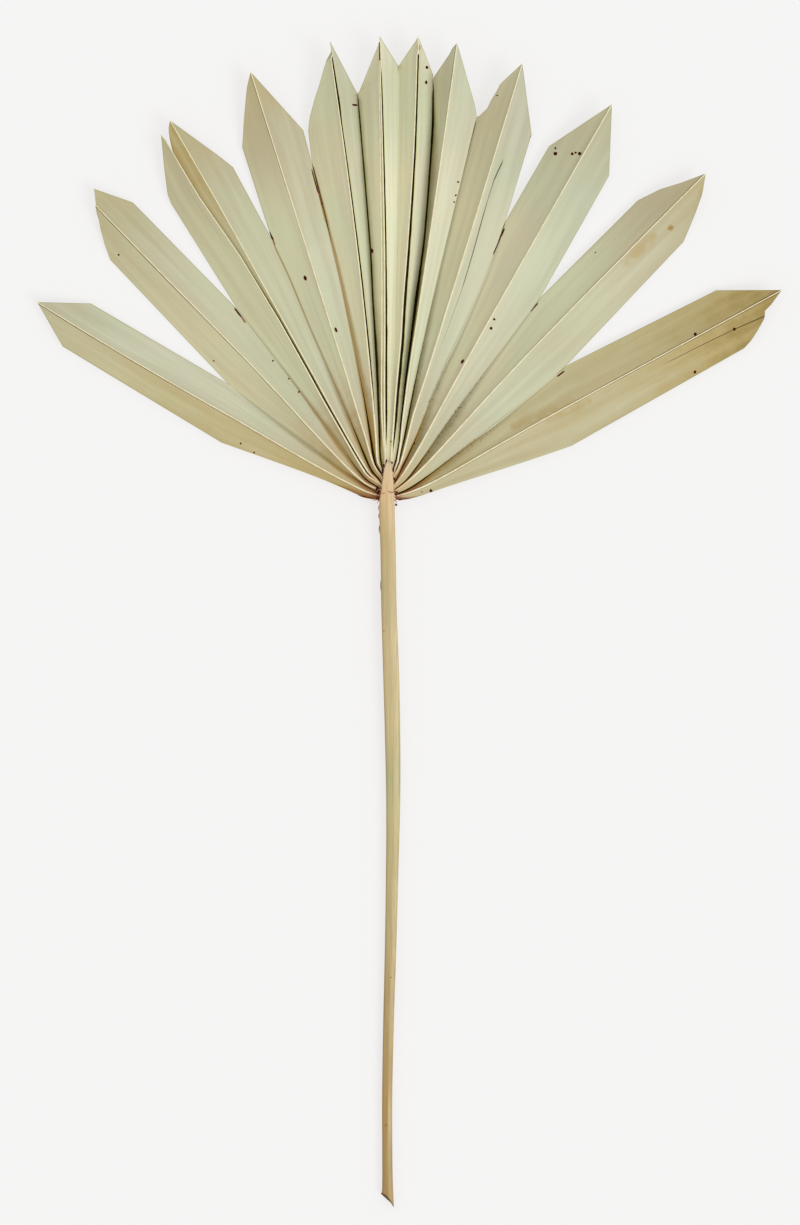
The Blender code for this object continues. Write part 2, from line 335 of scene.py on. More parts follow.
def crest_rows(index, left_edge, right_edge):
    """Line of the rib, abreast of the rows of both edges."""
    bow, flare, height = RIBS[index][2:]
    start = root_point(RIBS[index][0])
    tip = fan_point(*SECOND_RIB_END, height) if index == 1 else half_tip(index, RIGHT)
    along = (tip - start).to_2d()
    last = len(left_edge) - 1
    furrow = FURROWS.get((index, RIGHT))
    rows = []
    for row, (left, right) in enumerate(zip(left_edge, right_edge)):
        share = ((left + right) / 2.0 - start).to_2d().dot(along) / along.length_squared
        share = min(1.0, max(0.0, {0: 0.0, last: 1.0}.get(row, share)))
        point = bowed(start, tip, bow, flare, share)
        point += across(start, tip) * sway_of(RIB_SWAYS, index, point.to_2d().length)
        point.z = ROOT_LEVEL + (height - ROOT_LEVEL) * share * (CREST_RISE + (1.0 - CREST_RISE) * share)
        if furrow:
            furrow_reach = along_table(furrow, point.to_2d().length)
            shift = 0.5 * furrow_reach + RIB_SHIFTS[index] * min(1.0, furrow_reach)
            point -= across(start, tip) * shift
        rows.append(point)
    return rows


# Dark shade in the valleys, from the valley out: hub distance and width in mm
GULLIES = {
    (0, LEFT): ((3, 1.2), (10, 0.6), (18, 0)),
    (0, RIGHT): ((4, 0.3), (12, 0.4), (18, 0.1), (24, 0)),
    (1, LEFT): ((4, 0.2), (12, 0.4), (22, 0)),
    (1, RIGHT): ((4, 0.4), (12, 0.45), (20, 0.2), (30, 0)),
    (2, LEFT): ((4, 0.3), (14, 0.4), (26, 0)),
    (2, STRIP): ((4, 1.0), (20, 1.1), (60, 1.3), (90, 1.3), (106, 0.9), (125, 0.4), (150, 0.1)),
    (2, RIGHT): ((4, 0.6), (16, 0.9), (28, 0.6), (44, 0)),
    (3, LEFT): ((4, 0.4), (16, 0.5), (34, 0)),
    (3, RIGHT): ((4, 0.6), (14, 0.6), (26, 0.25), (36, 0), (116, 0), (132, 0.35), (158, 0.4)),
    (4, LEFT): ((4, 0.8), (16, 1.5), (30, 1.1), (52, 0.3), (70, 0), (116, 0), (136, 0.5),
                (158, 0.4)),
    (4, RIGHT): ((6, 0.4), (20, 0.4), (60, 0.3), (110, 0.3), (186, 0.3)),
    (5, LEFT): ((6, 0.6), (20, 0.9), (40, 1.2), (60, 1.3), (80, 0.9), (110, 0.7), (150, 0.6),
                (188, 0.5)),
    (6, RIGHT): ((8, 0.3), (40, 0.4), (90, 0.5), (120, 0.3), (190, 0.2)),
    (7, LEFT): ((6, 0.6), (20, 0.9), (40, 1.3), (60, 1.9), (86, 2.2), (115, 1.5), (150, 1.1),
                (172, 1.5), (194, 0.7)),
    (7, RIGHT): ((6, 0.3), (30, 0.4), (60, 0), (156, 0), (180, 0.25)),
    (8, LEFT): ((6, 0.6), (14, 1.0), (28, 1.5), (42, 1.3), (56, 0.6), (70, 0.2), (156, 0.2),
                (180, 0.35)),
    (8, RIGHT): ((4, 0.3), (18, 0.4), (28, 0), (120, 0), (132, 0.3), (138, 0.3)),
    (9, LEFT): ((4, 0.4), (18, 0.6), (30, 0.25), (38, 0), (120, 0), (130, 0.4), (138, 0.3)),
    (9, RIGHT): ((4, 0.3), (16, 0.3), (26, 0)),
    (10, LEFT): ((4, 0.4), (16, 0.5), (30, 0.25), (48, 0), (106, 0), (115, 0.3)),
    (10, RIGHT): ((4, 0.4), (14, 0.3), (24, 0)),
    (11, LEFT): ((4, 0.4), (14, 0.6), (30, 0.4), (44, 0), (94, 0), (102, 0.3)),
    (11, RIGHT): ((3, 0.7), (8, 0.4), (14, 0)),
}

# Olive shade that fades out from the valleys, in the same measures
OLIVES = {
    (0, RIGHT): ((8, 1.4), (40, 1.4), (80, 0.7), (90, 0)),
    (1, LEFT): ((8, 1.0), (40, 1.2), (70, 0.5), (90, 0)),
    (1, RIGHT): ((8, 1.6), (40, 1.5), (80, 0.7), (110, 0.3)),
    (2, LEFT): ((8, 1.2), (40, 1.0), (80, 0.4), (110, 0.2)),
    (2, STRIP): ((60, 1.4), (110, 1.4), (150, 0.9), (196, 0.5)),
    (2, RIGHT): ((8, 2.0), (40, 2.2), (75, 1.1), (130, 0.4)),
    (3, LEFT): ((8, 1.2), (40, 1.0), (80, 0.4), (130, 0.2)),
    (4, RIGHT): ((8, 1.0), (30, 1.2), (60, 2.0), (110, 2.4), (150, 2.2), (188, 1.2)),
    (5, LEFT): ((8, 1.0), (60, 2.6), (110, 2.0), (188, 1.6)),
    (6, RIGHT): ((8, 0.6), (60, 2.2), (110, 2.0), (150, 1.6), (190, 0.8)),
    (7, LEFT): ((8, 1.2), (60, 3.0), (86, 4.2), (110, 6.0), (150, 5.4), (166, 4.0), (182, 1.8),
                (194, 0.8)),
    (7, RIGHT): ((8, 0.6), (40, 0.8), (80, 0.4), (120, 0)),
    (8, LEFT): ((8, 2.0), (24, 3.6), (50, 4.2), (80, 3.4), (110, 2.4), (160, 2.0), (180, 1.6)),
    (8, RIGHT): ((8, 0.6), (60, 1.0), (100, 0.4), (130, 0.6)),
    (9, LEFT): ((8, 2.2), (24, 3.6), (34, 3.2), (46, 2.4), (66, 2.0), (90, 1.4), (130, 1.0)),
    (9, RIGHT): ((8, 0.5), (60, 0.5), (90, 0)),
    (10, LEFT): ((8, 2.0), (24, 3.4), (44, 3.4), (70, 1.8), (115, 0.6)),
    (10, RIGHT): ((8, 0.5), (60, 0.6), (90, 0)),
    (11, LEFT): ((8, 1.6), (30, 2.6), (60, 2.0), (100, 0.5)),
}

# Orange-brown stains along the valleys, in the same measures
STAINS = {
    (0, LEFT): ((2, 3.0), (14, 2.0), (30, 0)),
    (0, RIGHT): ((4, 1.8), (24, 1.8), (40, 0)),
    (1, RIGHT): ((4, 1.4), (30, 2.4), (60, 0.8), (80, 0)),
    (2, RIGHT): ((4, 1.4), (26, 1.6), (60, 0.6), (110, 0.7), (126, 0.9)),
    (3, RIGHT): ((4, 1.2), (40, 1.0), (90, 0.7), (130, 0.6), (158, 0.4)),
    (4, LEFT): ((4, 1.8), (20, 2.6), (40, 3.4), (70, 2.4), (100, 1.6), (130, 1.1), (158, 0.6)),
    (8, RIGHT): ((4, 1.2), (24, 1.0), (40, 0)),
    (9, LEFT): ((4, 1.2), (24, 1.6), (44, 0)),
    (10, LEFT): ((4, 1.4), (20, 1.6), (34, 0)),
    (11, LEFT): ((3, 2.4), (14, 2.6), (34, 1.0), (60, 0.6), (102, 0.6)),
    (11, RIGHT): ((2, 2.4), (8, 1.2), (14, 0.4), (20, 0)),
}

# Width of the thin brown line hard by the rib, in mm: on the left halves it is painted shadow of the rib,
# along the last rib also its brown edge
RIB_SHADE_AND_BROWN_LINES = {(0, LEFT): 0.65, (1, LEFT): 0.75, (3, LEFT): 0.5, (7, LEFT): 0.55, (10, LEFT): 0.5, (11, LEFT): 0.6,
         (11, RIGHT): 0.6}

# How far each half has turned golden, by hub distance
GOLDEN = {
    (0, LEFT): ((10, 1.0), (60, 0.75), (120, 0.65), (150, 0.35), (190, 0.25)),
    (0, RIGHT): ((10, 0.6), (40, 0.25), (80, 0), (150, 0), (189, 0.25)),
    (1, LEFT): ((10, 0.4), (50, 0.2), (90, 0.18), (150, 0.18), (193, 0.4)),
    (1, RIGHT): ((40, 0), (90, 0.15), (150, 0.18), (185, 0.45), (200, 0.6)),
    (2, LEFT): ((60, 0), (100, 0.18), (160, 0.2), (203, 0.3)),
    (2, STRIP): ((90, 0.2), (140, 0.5), (170, 0.85), (204, 1.0)),
    (2, RIGHT): ((60, 0), (100, 0.18), (160, 0.25), (185, 0.5), (204, 0.6)),
    (3, LEFT): ((150, 0), (180, 0.3), (209, 0.6)),
    (3, RIGHT): ((120, 0.1), (180, 0.25), (209, 0.9)),
    (8, LEFT): ((60, 0), (110, 0.18), (212, 0.18)),
    (9, LEFT): ((170, 0), (212, 0.2)),
    (9, RIGHT): ((170, 0), (212, 0.3)),
    (10, LEFT): ((150, 0), (180, 0.15), (213, 0.35)),
    (10, RIGHT): ((70, 0), (110, 0.22), (170, 0.25), (190, 0.4), (213, 0.65)),
    (11, LEFT): ((10, 0.5), (60, 0.4), (100, 0.55), (140, 0.7), (180, 0.95), (211, 1.5)),
    (11, RIGHT): ((10, 0.3), (60, 0.5), (130, 0.65), (150, 0.85), (180, 1.2), (211, 1.45)),
}

# Crack in the lower half of the last segment: hub distance and place right of the rib, then its widths
LOW_CRACK = ((142, 4.3), (164, 4.8), (182, 5.6), (198, 7.0))
LOW_CRACK_WIDTHS = ((140, 0), (150, 0.13), (180, 0.18), (199, 0.22))
NO_CRACK = 9.0

# The middle segments are painted paler, painted light that lifts the shade of their steep pleats, and are
# less warm by the hub
PALE_GAIN = 0.32
PALE_TURN = 1.0
PALE_SPREAD = 8.5

# Right of the hub the leaf is less warm in colour, fully so from this far on, in metres
RIGHTNESS_REACH = 0.02

# Pale lines along valleys, in the same measures
PALE_VALLEY_LINES = {
    (5, RIGHT): ((60, 0), (90, 0.5), (200, 0.45)),
    (6, LEFT): ((60, 0), (90, 0.5), (200, 0.45)),
    (8, LEFT): ((84, 0), (95, 0.5), (150, 0.4), (160, 0)),
    (9, LEFT): ((60, 0), (70, 0.5), (118, 0.5), (124, 0)),
    (11, LEFT): ((46, 0), (56, 0.6), (98, 0.6), (104, 0)),
}

MEASURES = ("from_rib", "from_edge", "furrow", "gully", "olive", "stain", "golden", "pale_line", "crack", "split",
            "rib_shade_and_brown", "side", "pale", "free")


def cross_shares(index, side, width, distance):
    """Places across a half, from its edge to its rib, with the furrow's own columns at their sizes."""
    furrow = FURROWS.get((index, side))
    if not furrow:
        return CROSS_STEPS
    reach = min(0.5 * width, 1.4 * max(0.25, along_table(furrow, distance)))
    inner = [1.0 - reach * part / max(width, 0.001) for part in (1.0, 0.72, 0.6, 0.4, 0.2, 0.0)]
    outer = [share * inner[0] / 0.9 for share in CROSS_STEPS[:-len(inner)]]
    return outer + inner


def tear_open(distance):
    """How far the long tear gapes, by hub distance."""
    return smooth(*TEAR_OPENS, distance) * (1.0 - smooth(*TEAR_CLOSES, distance))


def surface_point(index, side, edge, crest, share):
    """Point of a half between its edge and its rib, with its sag, its waves and its furrow, in mm."""
    point = edge.lerp(crest, share)
    width = (crest - edge).to_2d().length
    distance = point.to_2d().length
    fullness = min(1.0, width / FULL_WIDTH)
    seed = Vector((index * 7.3, side * 3.1, 0.0))
    kink = 0.5 + 0.16 * noise.noise(Vector((distance / 90.0, 5.0, 0.0)) + seed)
    arch = share / kink if share < kink else (1.0 - share) / (1.0 - kink)
    arch = 1.0 - (1.0 - arch) ** 1.5
    wave = noise.noise(Vector((share * 1.8, distance / 60.0, 0.0)) + seed) * math.sin(math.pi * share)
    ripple = noise.noise(Vector((share * 5.0, distance / 16.0, 9.0)) + seed) * math.sin(math.pi * share)
    point.z += fullness * (LAMINA_WAVE * wave + LAMINA_RIPPLE * ripple - LAMINA_SAG * arch)
    furrow = along_table(FURROWS.get((index, side), NOWHERE), distance)
    if furrow > 0.0:
        from_rib = width * (1.0 - share)
        floor_start, floor_end = [part * furrow for part in FURROW_FLOOR]
        floor_share = smooth(0.0, floor_start, from_rib) - smooth(floor_end, furrow, from_rib)
        point.z -= FURROW_DEPTH * min(1.0, furrow / 0.6) * floor_share
    return point


def keep_measures(mesh, names, measures):
    """Store the vertices' measures by name on the faces' corners, and return the corners' vertices."""
    corners = np.zeros(len(mesh.loops), np.int32)
    mesh.loops.foreach_get("vertex_index", corners)
    for slot, name in enumerate(names):
        attribute = mesh.attributes.new(name, "FLOAT", "CORNER")
        attribute.data.foreach_set("value", measures[corners, slot])
    return corners


def lay_strip(index, side, edge, crest, start=None, end=None, sink=0.0, crack=None):
    """Strip of one half as a grid between two places across it, with the measures for its marks."""
    half = LEFT if side == STRIP else side
    last_row = len(edge) - 1
    last_column = len(CROSS_STEPS) - 1
    bpy.ops.mesh.primitive_grid_add(x_subdivisions=last_column, y_subdivisions=last_row, size=1.0)
    strip = bpy.context.object
    mesh = strip.data
    if half == RIGHT:
        mesh.flip_normals()
    measures = np.zeros((len(mesh.vertices), len(MEASURES)))
    places = np.zeros((len(mesh.vertices), 2))
    shoulder_row = JOINED_ROWS + FEW_FREE_ROWS.get(index, FREE_ROWS)
    full_width = (crest[shoulder_row] - edge[shoulder_row]).to_2d().length
    pale = PALE_GAIN * math.exp(-((RIBS[index][0] - PALE_TURN) / PALE_SPREAD) ** 2)
    for number, vertex in enumerate(mesh.vertices):
        column = round((vertex.co.x + 0.5) * last_column)
        row = round((vertex.co.y + 0.5) * last_row)
        width = (crest[row] - edge[row]).to_2d().length
        hub_distance = crest[row].to_2d().length
        share = cross_shares(index, side, width, hub_distance)[column]
        low = start[row] if start else 0.0
        high = end[row] if end else 1.0
        share = low + (high - low) * share
        point = surface_point(index, side, edge[row], crest[row], share)
        distance = point.to_2d().length
        if sink:
            point.z -= sink * tear_open(distance) * (share / max(high, 0.01)) ** 3
        vertex.co = to_world(point)
        from_rib = width * (1.0 - share)
        tables = [along_table(table.get((index, side), NOWHERE), distance)
                  for table in (FURROWS, GULLIES, OLIVES, STAINS, GOLDEN, PALE_VALLEY_LINES)]
        from_crack, split = NO_CRACK, 0.0
        if crack:
            line, widths = crack
            from_crack = from_rib - line_value(line, distance)
            split = along_table(widths, distance)
        rib_shade_and_brown = RIB_SHADE_AND_BROWN_LINES.get((index, side), 0.0)
        free = float(row >= JOINED_ROWS)
        marks = (from_crack, split, rib_shade_and_brown, float(half), pale, free)
        measures[number] = (from_rib, width * share, *tables, *marks)
        uncut = full_width if row > shoulder_row else max(width, 0.01)
        places[number] = (index * 2 + half + min(1.0, from_rib / uncut), distance / 100.0)
    corners = keep_measures(mesh, MEASURES, measures)
    mesh.uv_layers.active.data.foreach_set("uv", places[corners].ravel())
    return strip


def flap_lines(crest, flap_tip):
    """Edge of the flap beside the torn rib, and the edge of the strip that shows under it."""
    turn, length, bow, flare, height = RIBS[TORN]
    root = root_point(turn)
    tip = fan_point(turn, length, height)
    flap = []
    strip = []
    for point in crest:
        back = (tip - point).to_2d().length
        place = FLAP_TIP[0] + back * (1.0 - FLAP_TIP[0] / length)
        beside = bowed(root, tip, bow, flare, max(0.0, 1.0 - place / (tip - root).to_2d().length))
        root_fade = smooth(0.0, 9.0, (point - crest[0]).to_2d().length)
        sway = sway_of(RIB_SWAYS, TORN, beside.to_2d().length)
        beside += across(root, tip) * (sway - line_value(FLAP_EDGE, place) * root_fade)
        beside.z = point.z + FLAP_LIFT * root_fade
        flap.append(beside)
        low = beside - Vector((0.0, 0.0, STRIP_SINK * root_fade))
        if back < STRIP_TIP_BACK:
            low = low.lerp(crest[-1], 1.0 - back / STRIP_TIP_BACK)
        strip.append(low)
    flap[-1] = flap_tip
    return flap, strip


def join_pieces(pieces):
    """Join pieces into the first of them."""
    bpy.ops.object.select_all(action="DESELECT")
    for piece in pieces:
        piece.select_set(True)
    bpy.context.view_layer.objects.active = pieces[0]
    bpy.ops.object.join()


strips = []
rib_lines = {}
for index in range(len(RIBS)):
    left_edge = edge_rows(index, LEFT)
    right_edge = edge_rows(index, RIGHT)
    crest = crest_rows(index, left_edge, right_edge)
    rib_lines[index] = [point for point in crest if (point - crest[-1]).length >= LEFT_SHORT.get(index, 0.0)]
    left_crest = crest
    if index in LEFT_SHORT:
        left_crest = crest[:-1] + [left_edge[-1]]
    if index == TORN:
        flap, strip_edge = flap_lines(crest, left_edge[-1])
        rib_lines["flap"] = flap
        strips.append(lay_strip(index, LEFT, left_edge, flap))
        strips.append(lay_strip(index, STRIP, strip_edge, crest))
    else:
        strips.append(lay_strip(index, LEFT, left_edge, left_crest))
    if (index, RIGHT) == LONG_TEAR_HALF:
        torn_from = []
        torn_to = []
        for edge_point, crest_point in zip(right_edge, crest):
            width = max(0.01, (crest_point - edge_point).to_2d().length)
            distance = crest_point.to_2d().length
            out = min(0.8 * width, line_value(LONG_TEAR, distance))
            torn_from.append(1.0 - out / width)
            torn_to.append(min(1.0, 1.0 - (out - TEAR_LAP * tear_open(distance)) / width))
        strips.append(lay_strip(index, RIGHT, right_edge, crest, end=torn_to, sink=TEAR_DEPTH,
                                crack=(LONG_TEAR, TEAR_WIDTHS)))
        strips.append(lay_strip(index, RIGHT, right_edge, crest, start=torn_from))
    else:
        crack = (LOW_CRACK, LOW_CRACK_WIDTHS) if index == 11 else None
        strips.append(lay_strip(index, RIGHT, right_edge, crest, crack=crack))
join_pieces(strips)
blade = strips[0]
blade.name = "pleated_blade"
bpy.ops.object.mode_set(mode="EDIT")
bpy.ops.mesh.select_all(action="SELECT")
bpy.ops.mesh.remove_doubles(threshold=0.00001)
bpy.ops.object.mode_set(mode="OBJECT")
wall = blade.modifiers.new("lamina", "SOLIDIFY")
wall.thickness = LAMINA_THICKNESS * MM
wall.offset = -1.0
wall.use_even_offset = False
bpy.ops.object.modifier_apply(modifier="lamina")
bpy.ops.object.shade_smooth_by_angle(angle=math.radians(24))

# Colours of the dried lamina, of what has marked it, and of the painted light and shade on it
# Tints of the two sides: the left one warmer as painted shade, the right one greener as painted light
SHADED_LEFT_TINT = (0.575, 0.545, 0.345)
LIT_RIGHT_TINT = (0.575, 0.565, 0.405)
BEIGE_TINT = (0.60, 0.525, 0.36)
MINT_TINT = (0.50, 0.57, 0.38)
GOLD_TINT = (0.50, 0.395, 0.175)
OLD_GOLD_TINT = (0.37, 0.275, 0.10)
HUB_TINT = (0.63, 0.46, 0.235)
EDGE_TINT = (0.36, 0.35, 0.17)
DARK_TINT = (0.006, 0.003, 0.0)
WARM_SHADOW_RIM = (1.0, 0.96, 0.5)
OLIVE_TINT = (0.115, 0.092, 0.022)
FOLD_SHADE_TINT = (0.33, 0.245, 0.095)
TEAR_SHADOW_TINT = (0.045, 0.038, 0.015)
STAIN_TINT = (0.34, 0.20, 0.045)
RUST_TINT = (0.26, 0.075, 0.022)
RIB_SHADE_AND_BROWN_TINT = (0.12, 0.065, 0.015)
SPOT_TINT = (0.035, 0.008, 0.003)
PALE_LINE_TINT = (0.76, 0.74, 0.53)

# Specks, in mm about the hub, and their sizes
SPECKS = (
    (18.7, 199.7, 0.6),
    (33.6, 145.0, 0.4), (32.6, 138.7, 0.35), (31.7, 135.4, 0.35), (80.2, 161.3, 0.4), (80.2, 158.7, 0.75),
    (88.3, 158.4, 0.6), (89.8, 158.9, 0.4), (91.7, 158.4, 0.7), (68.6, 167.0, 0.3), (50.9, 79.2, 0.5),
    (49.4, 74.9, 0.6), (35.5, 59.0, 0.5), (147.1, 72.0, 0.65), (-129.1, 110.4, 0.4), (-83.5, 59.5, 0.35),
    (-55.2, 59.5, 0.35), (-47.5, 50.9, 0.35), (-42.7, 44.6, 0.35), (-70.6, 19.7, 0.4), (-64.3, 15.4, 0.35),
    (1.4, 20.6, 0.35), (12.5, 19.7, 0.4), (19.7, 15.8, 0.3), (20.6, -2.9, 0.7),
    (16.3, -3.4, 0.3), (99.4, 111.4, 0.3), (52.3, 186.2, 0.35),
    (166.0, 74.6, 0.6), (147.2, 54.1, 0.55), (190.6, 81.6, 0.4),
)

# Short dark marks, from end to end in mm about the hub, and half their width: painted shadow in the slits at
# the notches, where the segments split, then long specks
SLIT_SHADOWS_AND_SPECKS = (
    (-73.6, 84.8, -70.4, 80.6, 0.45), (-57.2, 121.6, -55.0, 117.4, 0.5), (-36.6, 151.4, -33.6, 140.0, 0.3),
    (-17.0, 182.0, -14.8, 182.0, 0.5), (-4.0, 212.0, -3.7, 192.0, 0.35), (55.8, 122.8, 54.0, 118.8, 0.42),
    (54.2, 119.0, 50.4, 110.4, 0.28), (71.9, 87.1, 69.8, 84.7, 0.3), (84.6, 54.6, 81.2, 52.0, 0.4),
    (-40.0, 99.9, -39.3, 98.1, 0.75), (-25.3, 75.1, -24.5, 73.2, 0.6), (-7.8, 112.9, -7.5, 111.2, 0.65),
    (36.2, 59.8, 35.2, 58.2, 0.6), (18.4, 193.2, 18.2, 191.8, 0.6),
)

# Rust-red ends of those splits
RUSTY_NICKS = (
    (-70.6, 81.0, -68.4, 77.8, 0.45), (-55.4, 118.2, -54.2, 115.0, 0.4), (-34.0, 143.0, -31.6, 133.0, 0.32),
    (69.9, 84.9, 68.6, 83.2, 0.35),
)

# Tan marks, in the same measures
TAN_NICKS = (
    (14.7, 209.8, 14.7, 207.4, 0.95), (-31.8, 134.0, -29.8, 126.0, 0.5), (134.6, 122.8, 136.4, 123.4, 1.5),
)

# Tan patches beside the ribs, in the same measures
TAN_PATCHES = (
    (114.0, 105.7, 127.0, 119.1, 4.0), (60.0, 28.0, 96.0, 40.0, 4.0), (150.0, 138.0, 156.0, 146.0, 3.6),
)
TAN_TINT = (0.49, 0.38, 0.18)


def link_or_set(tree, socket, value):
    """Link an output to a socket, or set the socket's own value."""
    if isinstance(value, bpy.types.NodeSocket):
        tree.links.new(value, socket)
    elif socket.type == "RGBA":
        socket.default_value = (*value, 1.0)
    else:
        socket.default_value = value


def compute(tree, operation, first, second=0.0, third=0.0):
    """Result of a math node."""
    node = tree.nodes.new("ShaderNodeMath")
    node.operation = operation
    for socket, value in zip(node.inputs, (first, second, third)):
        link_or_set(tree, socket, value)
    return node.outputs[0]


def times(tree, first, second):
    """Product of two values."""
    return compute(tree, "MULTIPLY", first, second)


def plus(tree, first, second):
    """Sum of two values."""
    return compute(tree, "ADD", first, second)


def minus(tree, first, second):
    """Second value taken from the first."""
    return compute(tree, "SUBTRACT", first, second)


def larger(tree, first, second):
    """Larger of two values."""
    return compute(tree, "MAXIMUM", first, second)


def ramp(tree, value, start, end, low=0.0, high=1.0):
    """Value turned smoothly from low at start to high at end."""
    node = tree.nodes.new("ShaderNodeMapRange")
    node.interpolation_type = "SMOOTHSTEP"
    for socket, given in zip(node.inputs, (value, start, end, low, high)):
        link_or_set(tree, socket, given)
    return node.outputs[0]


def tint(tree, amount, under, over, blend="MIX"):
    """One colour laid over another by an amount."""
    node = tree.nodes.new("ShaderNodeMix")
    node.data_type = "RGBA"
    node.blend_type = blend
    link_or_set(tree, node.inputs[0], amount)
    link_or_set(tree, node.inputs[6], under)
    link_or_set(tree, node.inputs[7], over)
    return node.outputs[2]


def shaded_by(tree, amount, colour):
    """Colour made lighter or darker by a factor."""
    return tint(tree, 1.0, colour, vector_of(tree, amount, amount, amount), "MULTIPLY")


def cloud(tree, position, scale, detail=3.0, roughness=0.55):
    """Noise at a position."""
    node = tree.nodes.new("ShaderNodeTexNoise")
    link_or_set(tree, node.inputs["Vector"], position)
    link_or_set(tree, node.inputs["Scale"], scale)
    node.inputs["Detail"].default_value = detail
    node.inputs["Roughness"].default_value = roughness
    return node.outputs["Fac"]


def stored(tree, name):
    """Measure kept on the mesh."""
    node = tree.nodes.new("ShaderNodeAttribute")
    node.attribute_name = name
    return node.outputs["Fac"]


def vector_of(tree, x, y, z):
    """Vector from three values."""
    node = tree.nodes.new("ShaderNodeCombineXYZ")
    for socket, value in zip(node.inputs, (x, y, z)):
        link_or_set(tree, socket, value)
    return node.outputs[0]


def parts_of(tree, vector):
    """The three values of a vector."""
    node = tree.nodes.new("ShaderNodeSeparateXYZ")
    tree.links.new(vector, node.inputs[0])
    return node.outputs


def vector_math(tree, operation, first, second):
    """Node that works on two vectors."""
    node = tree.nodes.new("ShaderNodeVectorMath")
    node.operation = operation
    link_or_set(tree, node.inputs[0], first)
    link_or_set(tree, node.inputs[1], second)
    return node


def new_group(name, inputs, outputs):
    """Empty shader node group with named sockets, and its input and output nodes."""
    group = bpy.data.node_groups.new(name, "ShaderNodeTree")
    for label, kind in inputs:
        group.interface.new_socket(name=label, in_out="INPUT", socket_type=kind)
    for label, kind in outputs:
        group.interface.new_socket(name=label, in_out="OUTPUT", socket_type=kind)
    return group, group.nodes.new("NodeGroupInput"), group.nodes.new("NodeGroupOutput")


def use_group(tree, group, **values):
    """Place a node group in a tree, with its sockets linked or set by name."""
    node = tree.nodes.new("ShaderNodeGroup")
    node.node_tree = group
    for name, value in values.items():
        link_or_set(tree, node.inputs[name], value)
    return node


def make_fibres():
    """Fine streaks that run along a piece: across and along are its own measures."""
    inputs = (("Across", "NodeSocketFloat"), ("Along", "NodeSocketFloat"), ("Count", "NodeSocketFloat"))
    outputs = (("Streak", "NodeSocketFloat"), ("Band", "NodeSocketFloat"))
    group, given, result = new_group("fibres", inputs, outputs)
    across_count = times(group, given.outputs["Across"], given.outputs["Count"])
    fine_place = vector_of(group, across_count, given.outputs["Along"], 0.0)
    fine = cloud(group, fine_place, 1.0, 4.0, 0.6)
    broad_across = times(group, across_count, 0.075)
    broad_along = times(group, given.outputs["Along"], 0.8)
    broad = cloud(group, vector_of(group, broad_across, broad_along, 4.0), 1.0, 2.0, 0.5)
    group.links.new(fine, result.inputs["Streak"])
    group.links.new(broad, result.inputs["Band"])
    return group


def make_speck():
    """Small dark spot with a ragged rim, round a centre."""
    inputs = (("Position", "NodeSocketVector"), ("Centre", "NodeSocketVector"), ("Radius", "NodeSocketFloat"))
    group, given, result = new_group("speck", inputs, (("Mask", "NodeSocketFloat"),))
    distance = vector_math(group, "DISTANCE", given.outputs["Position"], given.outputs["Centre"])
    inner = times(group, given.outputs["Radius"], 0.55)
    mask = ramp(group, distance.outputs["Value"], inner, given.outputs["Radius"], 1.0, 0.0)
    group.links.new(mask, result.inputs["Mask"])
    return group


def make_mottle():
    """Soft patches: large drifts and small blotches of one piece."""
    inputs = (("Position", "NodeSocketVector"), ("Size", "NodeSocketFloat"))
    outputs = (("Drift", "NodeSocketFloat"), ("Blotch", "NodeSocketFloat"))
    group, given, result = new_group("mottle", inputs, outputs)
    scale = compute(group, "DIVIDE", 1.0, given.outputs["Size"])
    drift = cloud(group, given.outputs["Position"], scale, 2.0, 0.5)
    blotch = cloud(group, given.outputs["Position"], times(group, scale, 6.0), 4.0, 0.6)
    group.links.new(ramp(group, drift, 0.38, 0.62), result.inputs["Drift"])
    group.links.new(blotch, result.inputs["Blotch"])
    return group


fibres = make_fibres()
speck = make_speck()
mottle = make_mottle()


def dry_material(name, gloss=0.1):
    """Empty dry-plant material: its tree, its shader and the position on the object."""
    material = bpy.data.materials.new(name)
    material.use_nodes = True
    tree = material.node_tree
    shader = tree.nodes["Principled BSDF"]
    shader.inputs["Specular IOR Level"].default_value = gloss
    position = tree.nodes.new("ShaderNodeTexCoord").outputs["Object"]
    return material, tree, shader, position


def add_relief(tree, shader, height, strength, distance):
    """Fine relief of a surface, by a height and its reach in metres."""
    bump = tree.nodes.new("ShaderNodeBump")
    bump.inputs["Strength"].default_value = strength
    bump.inputs["Distance"].default_value = distance
    tree.links.new(height, bump.inputs["Height"])
    tree.links.new(bump.outputs["Normal"], shader.inputs["Normal"])


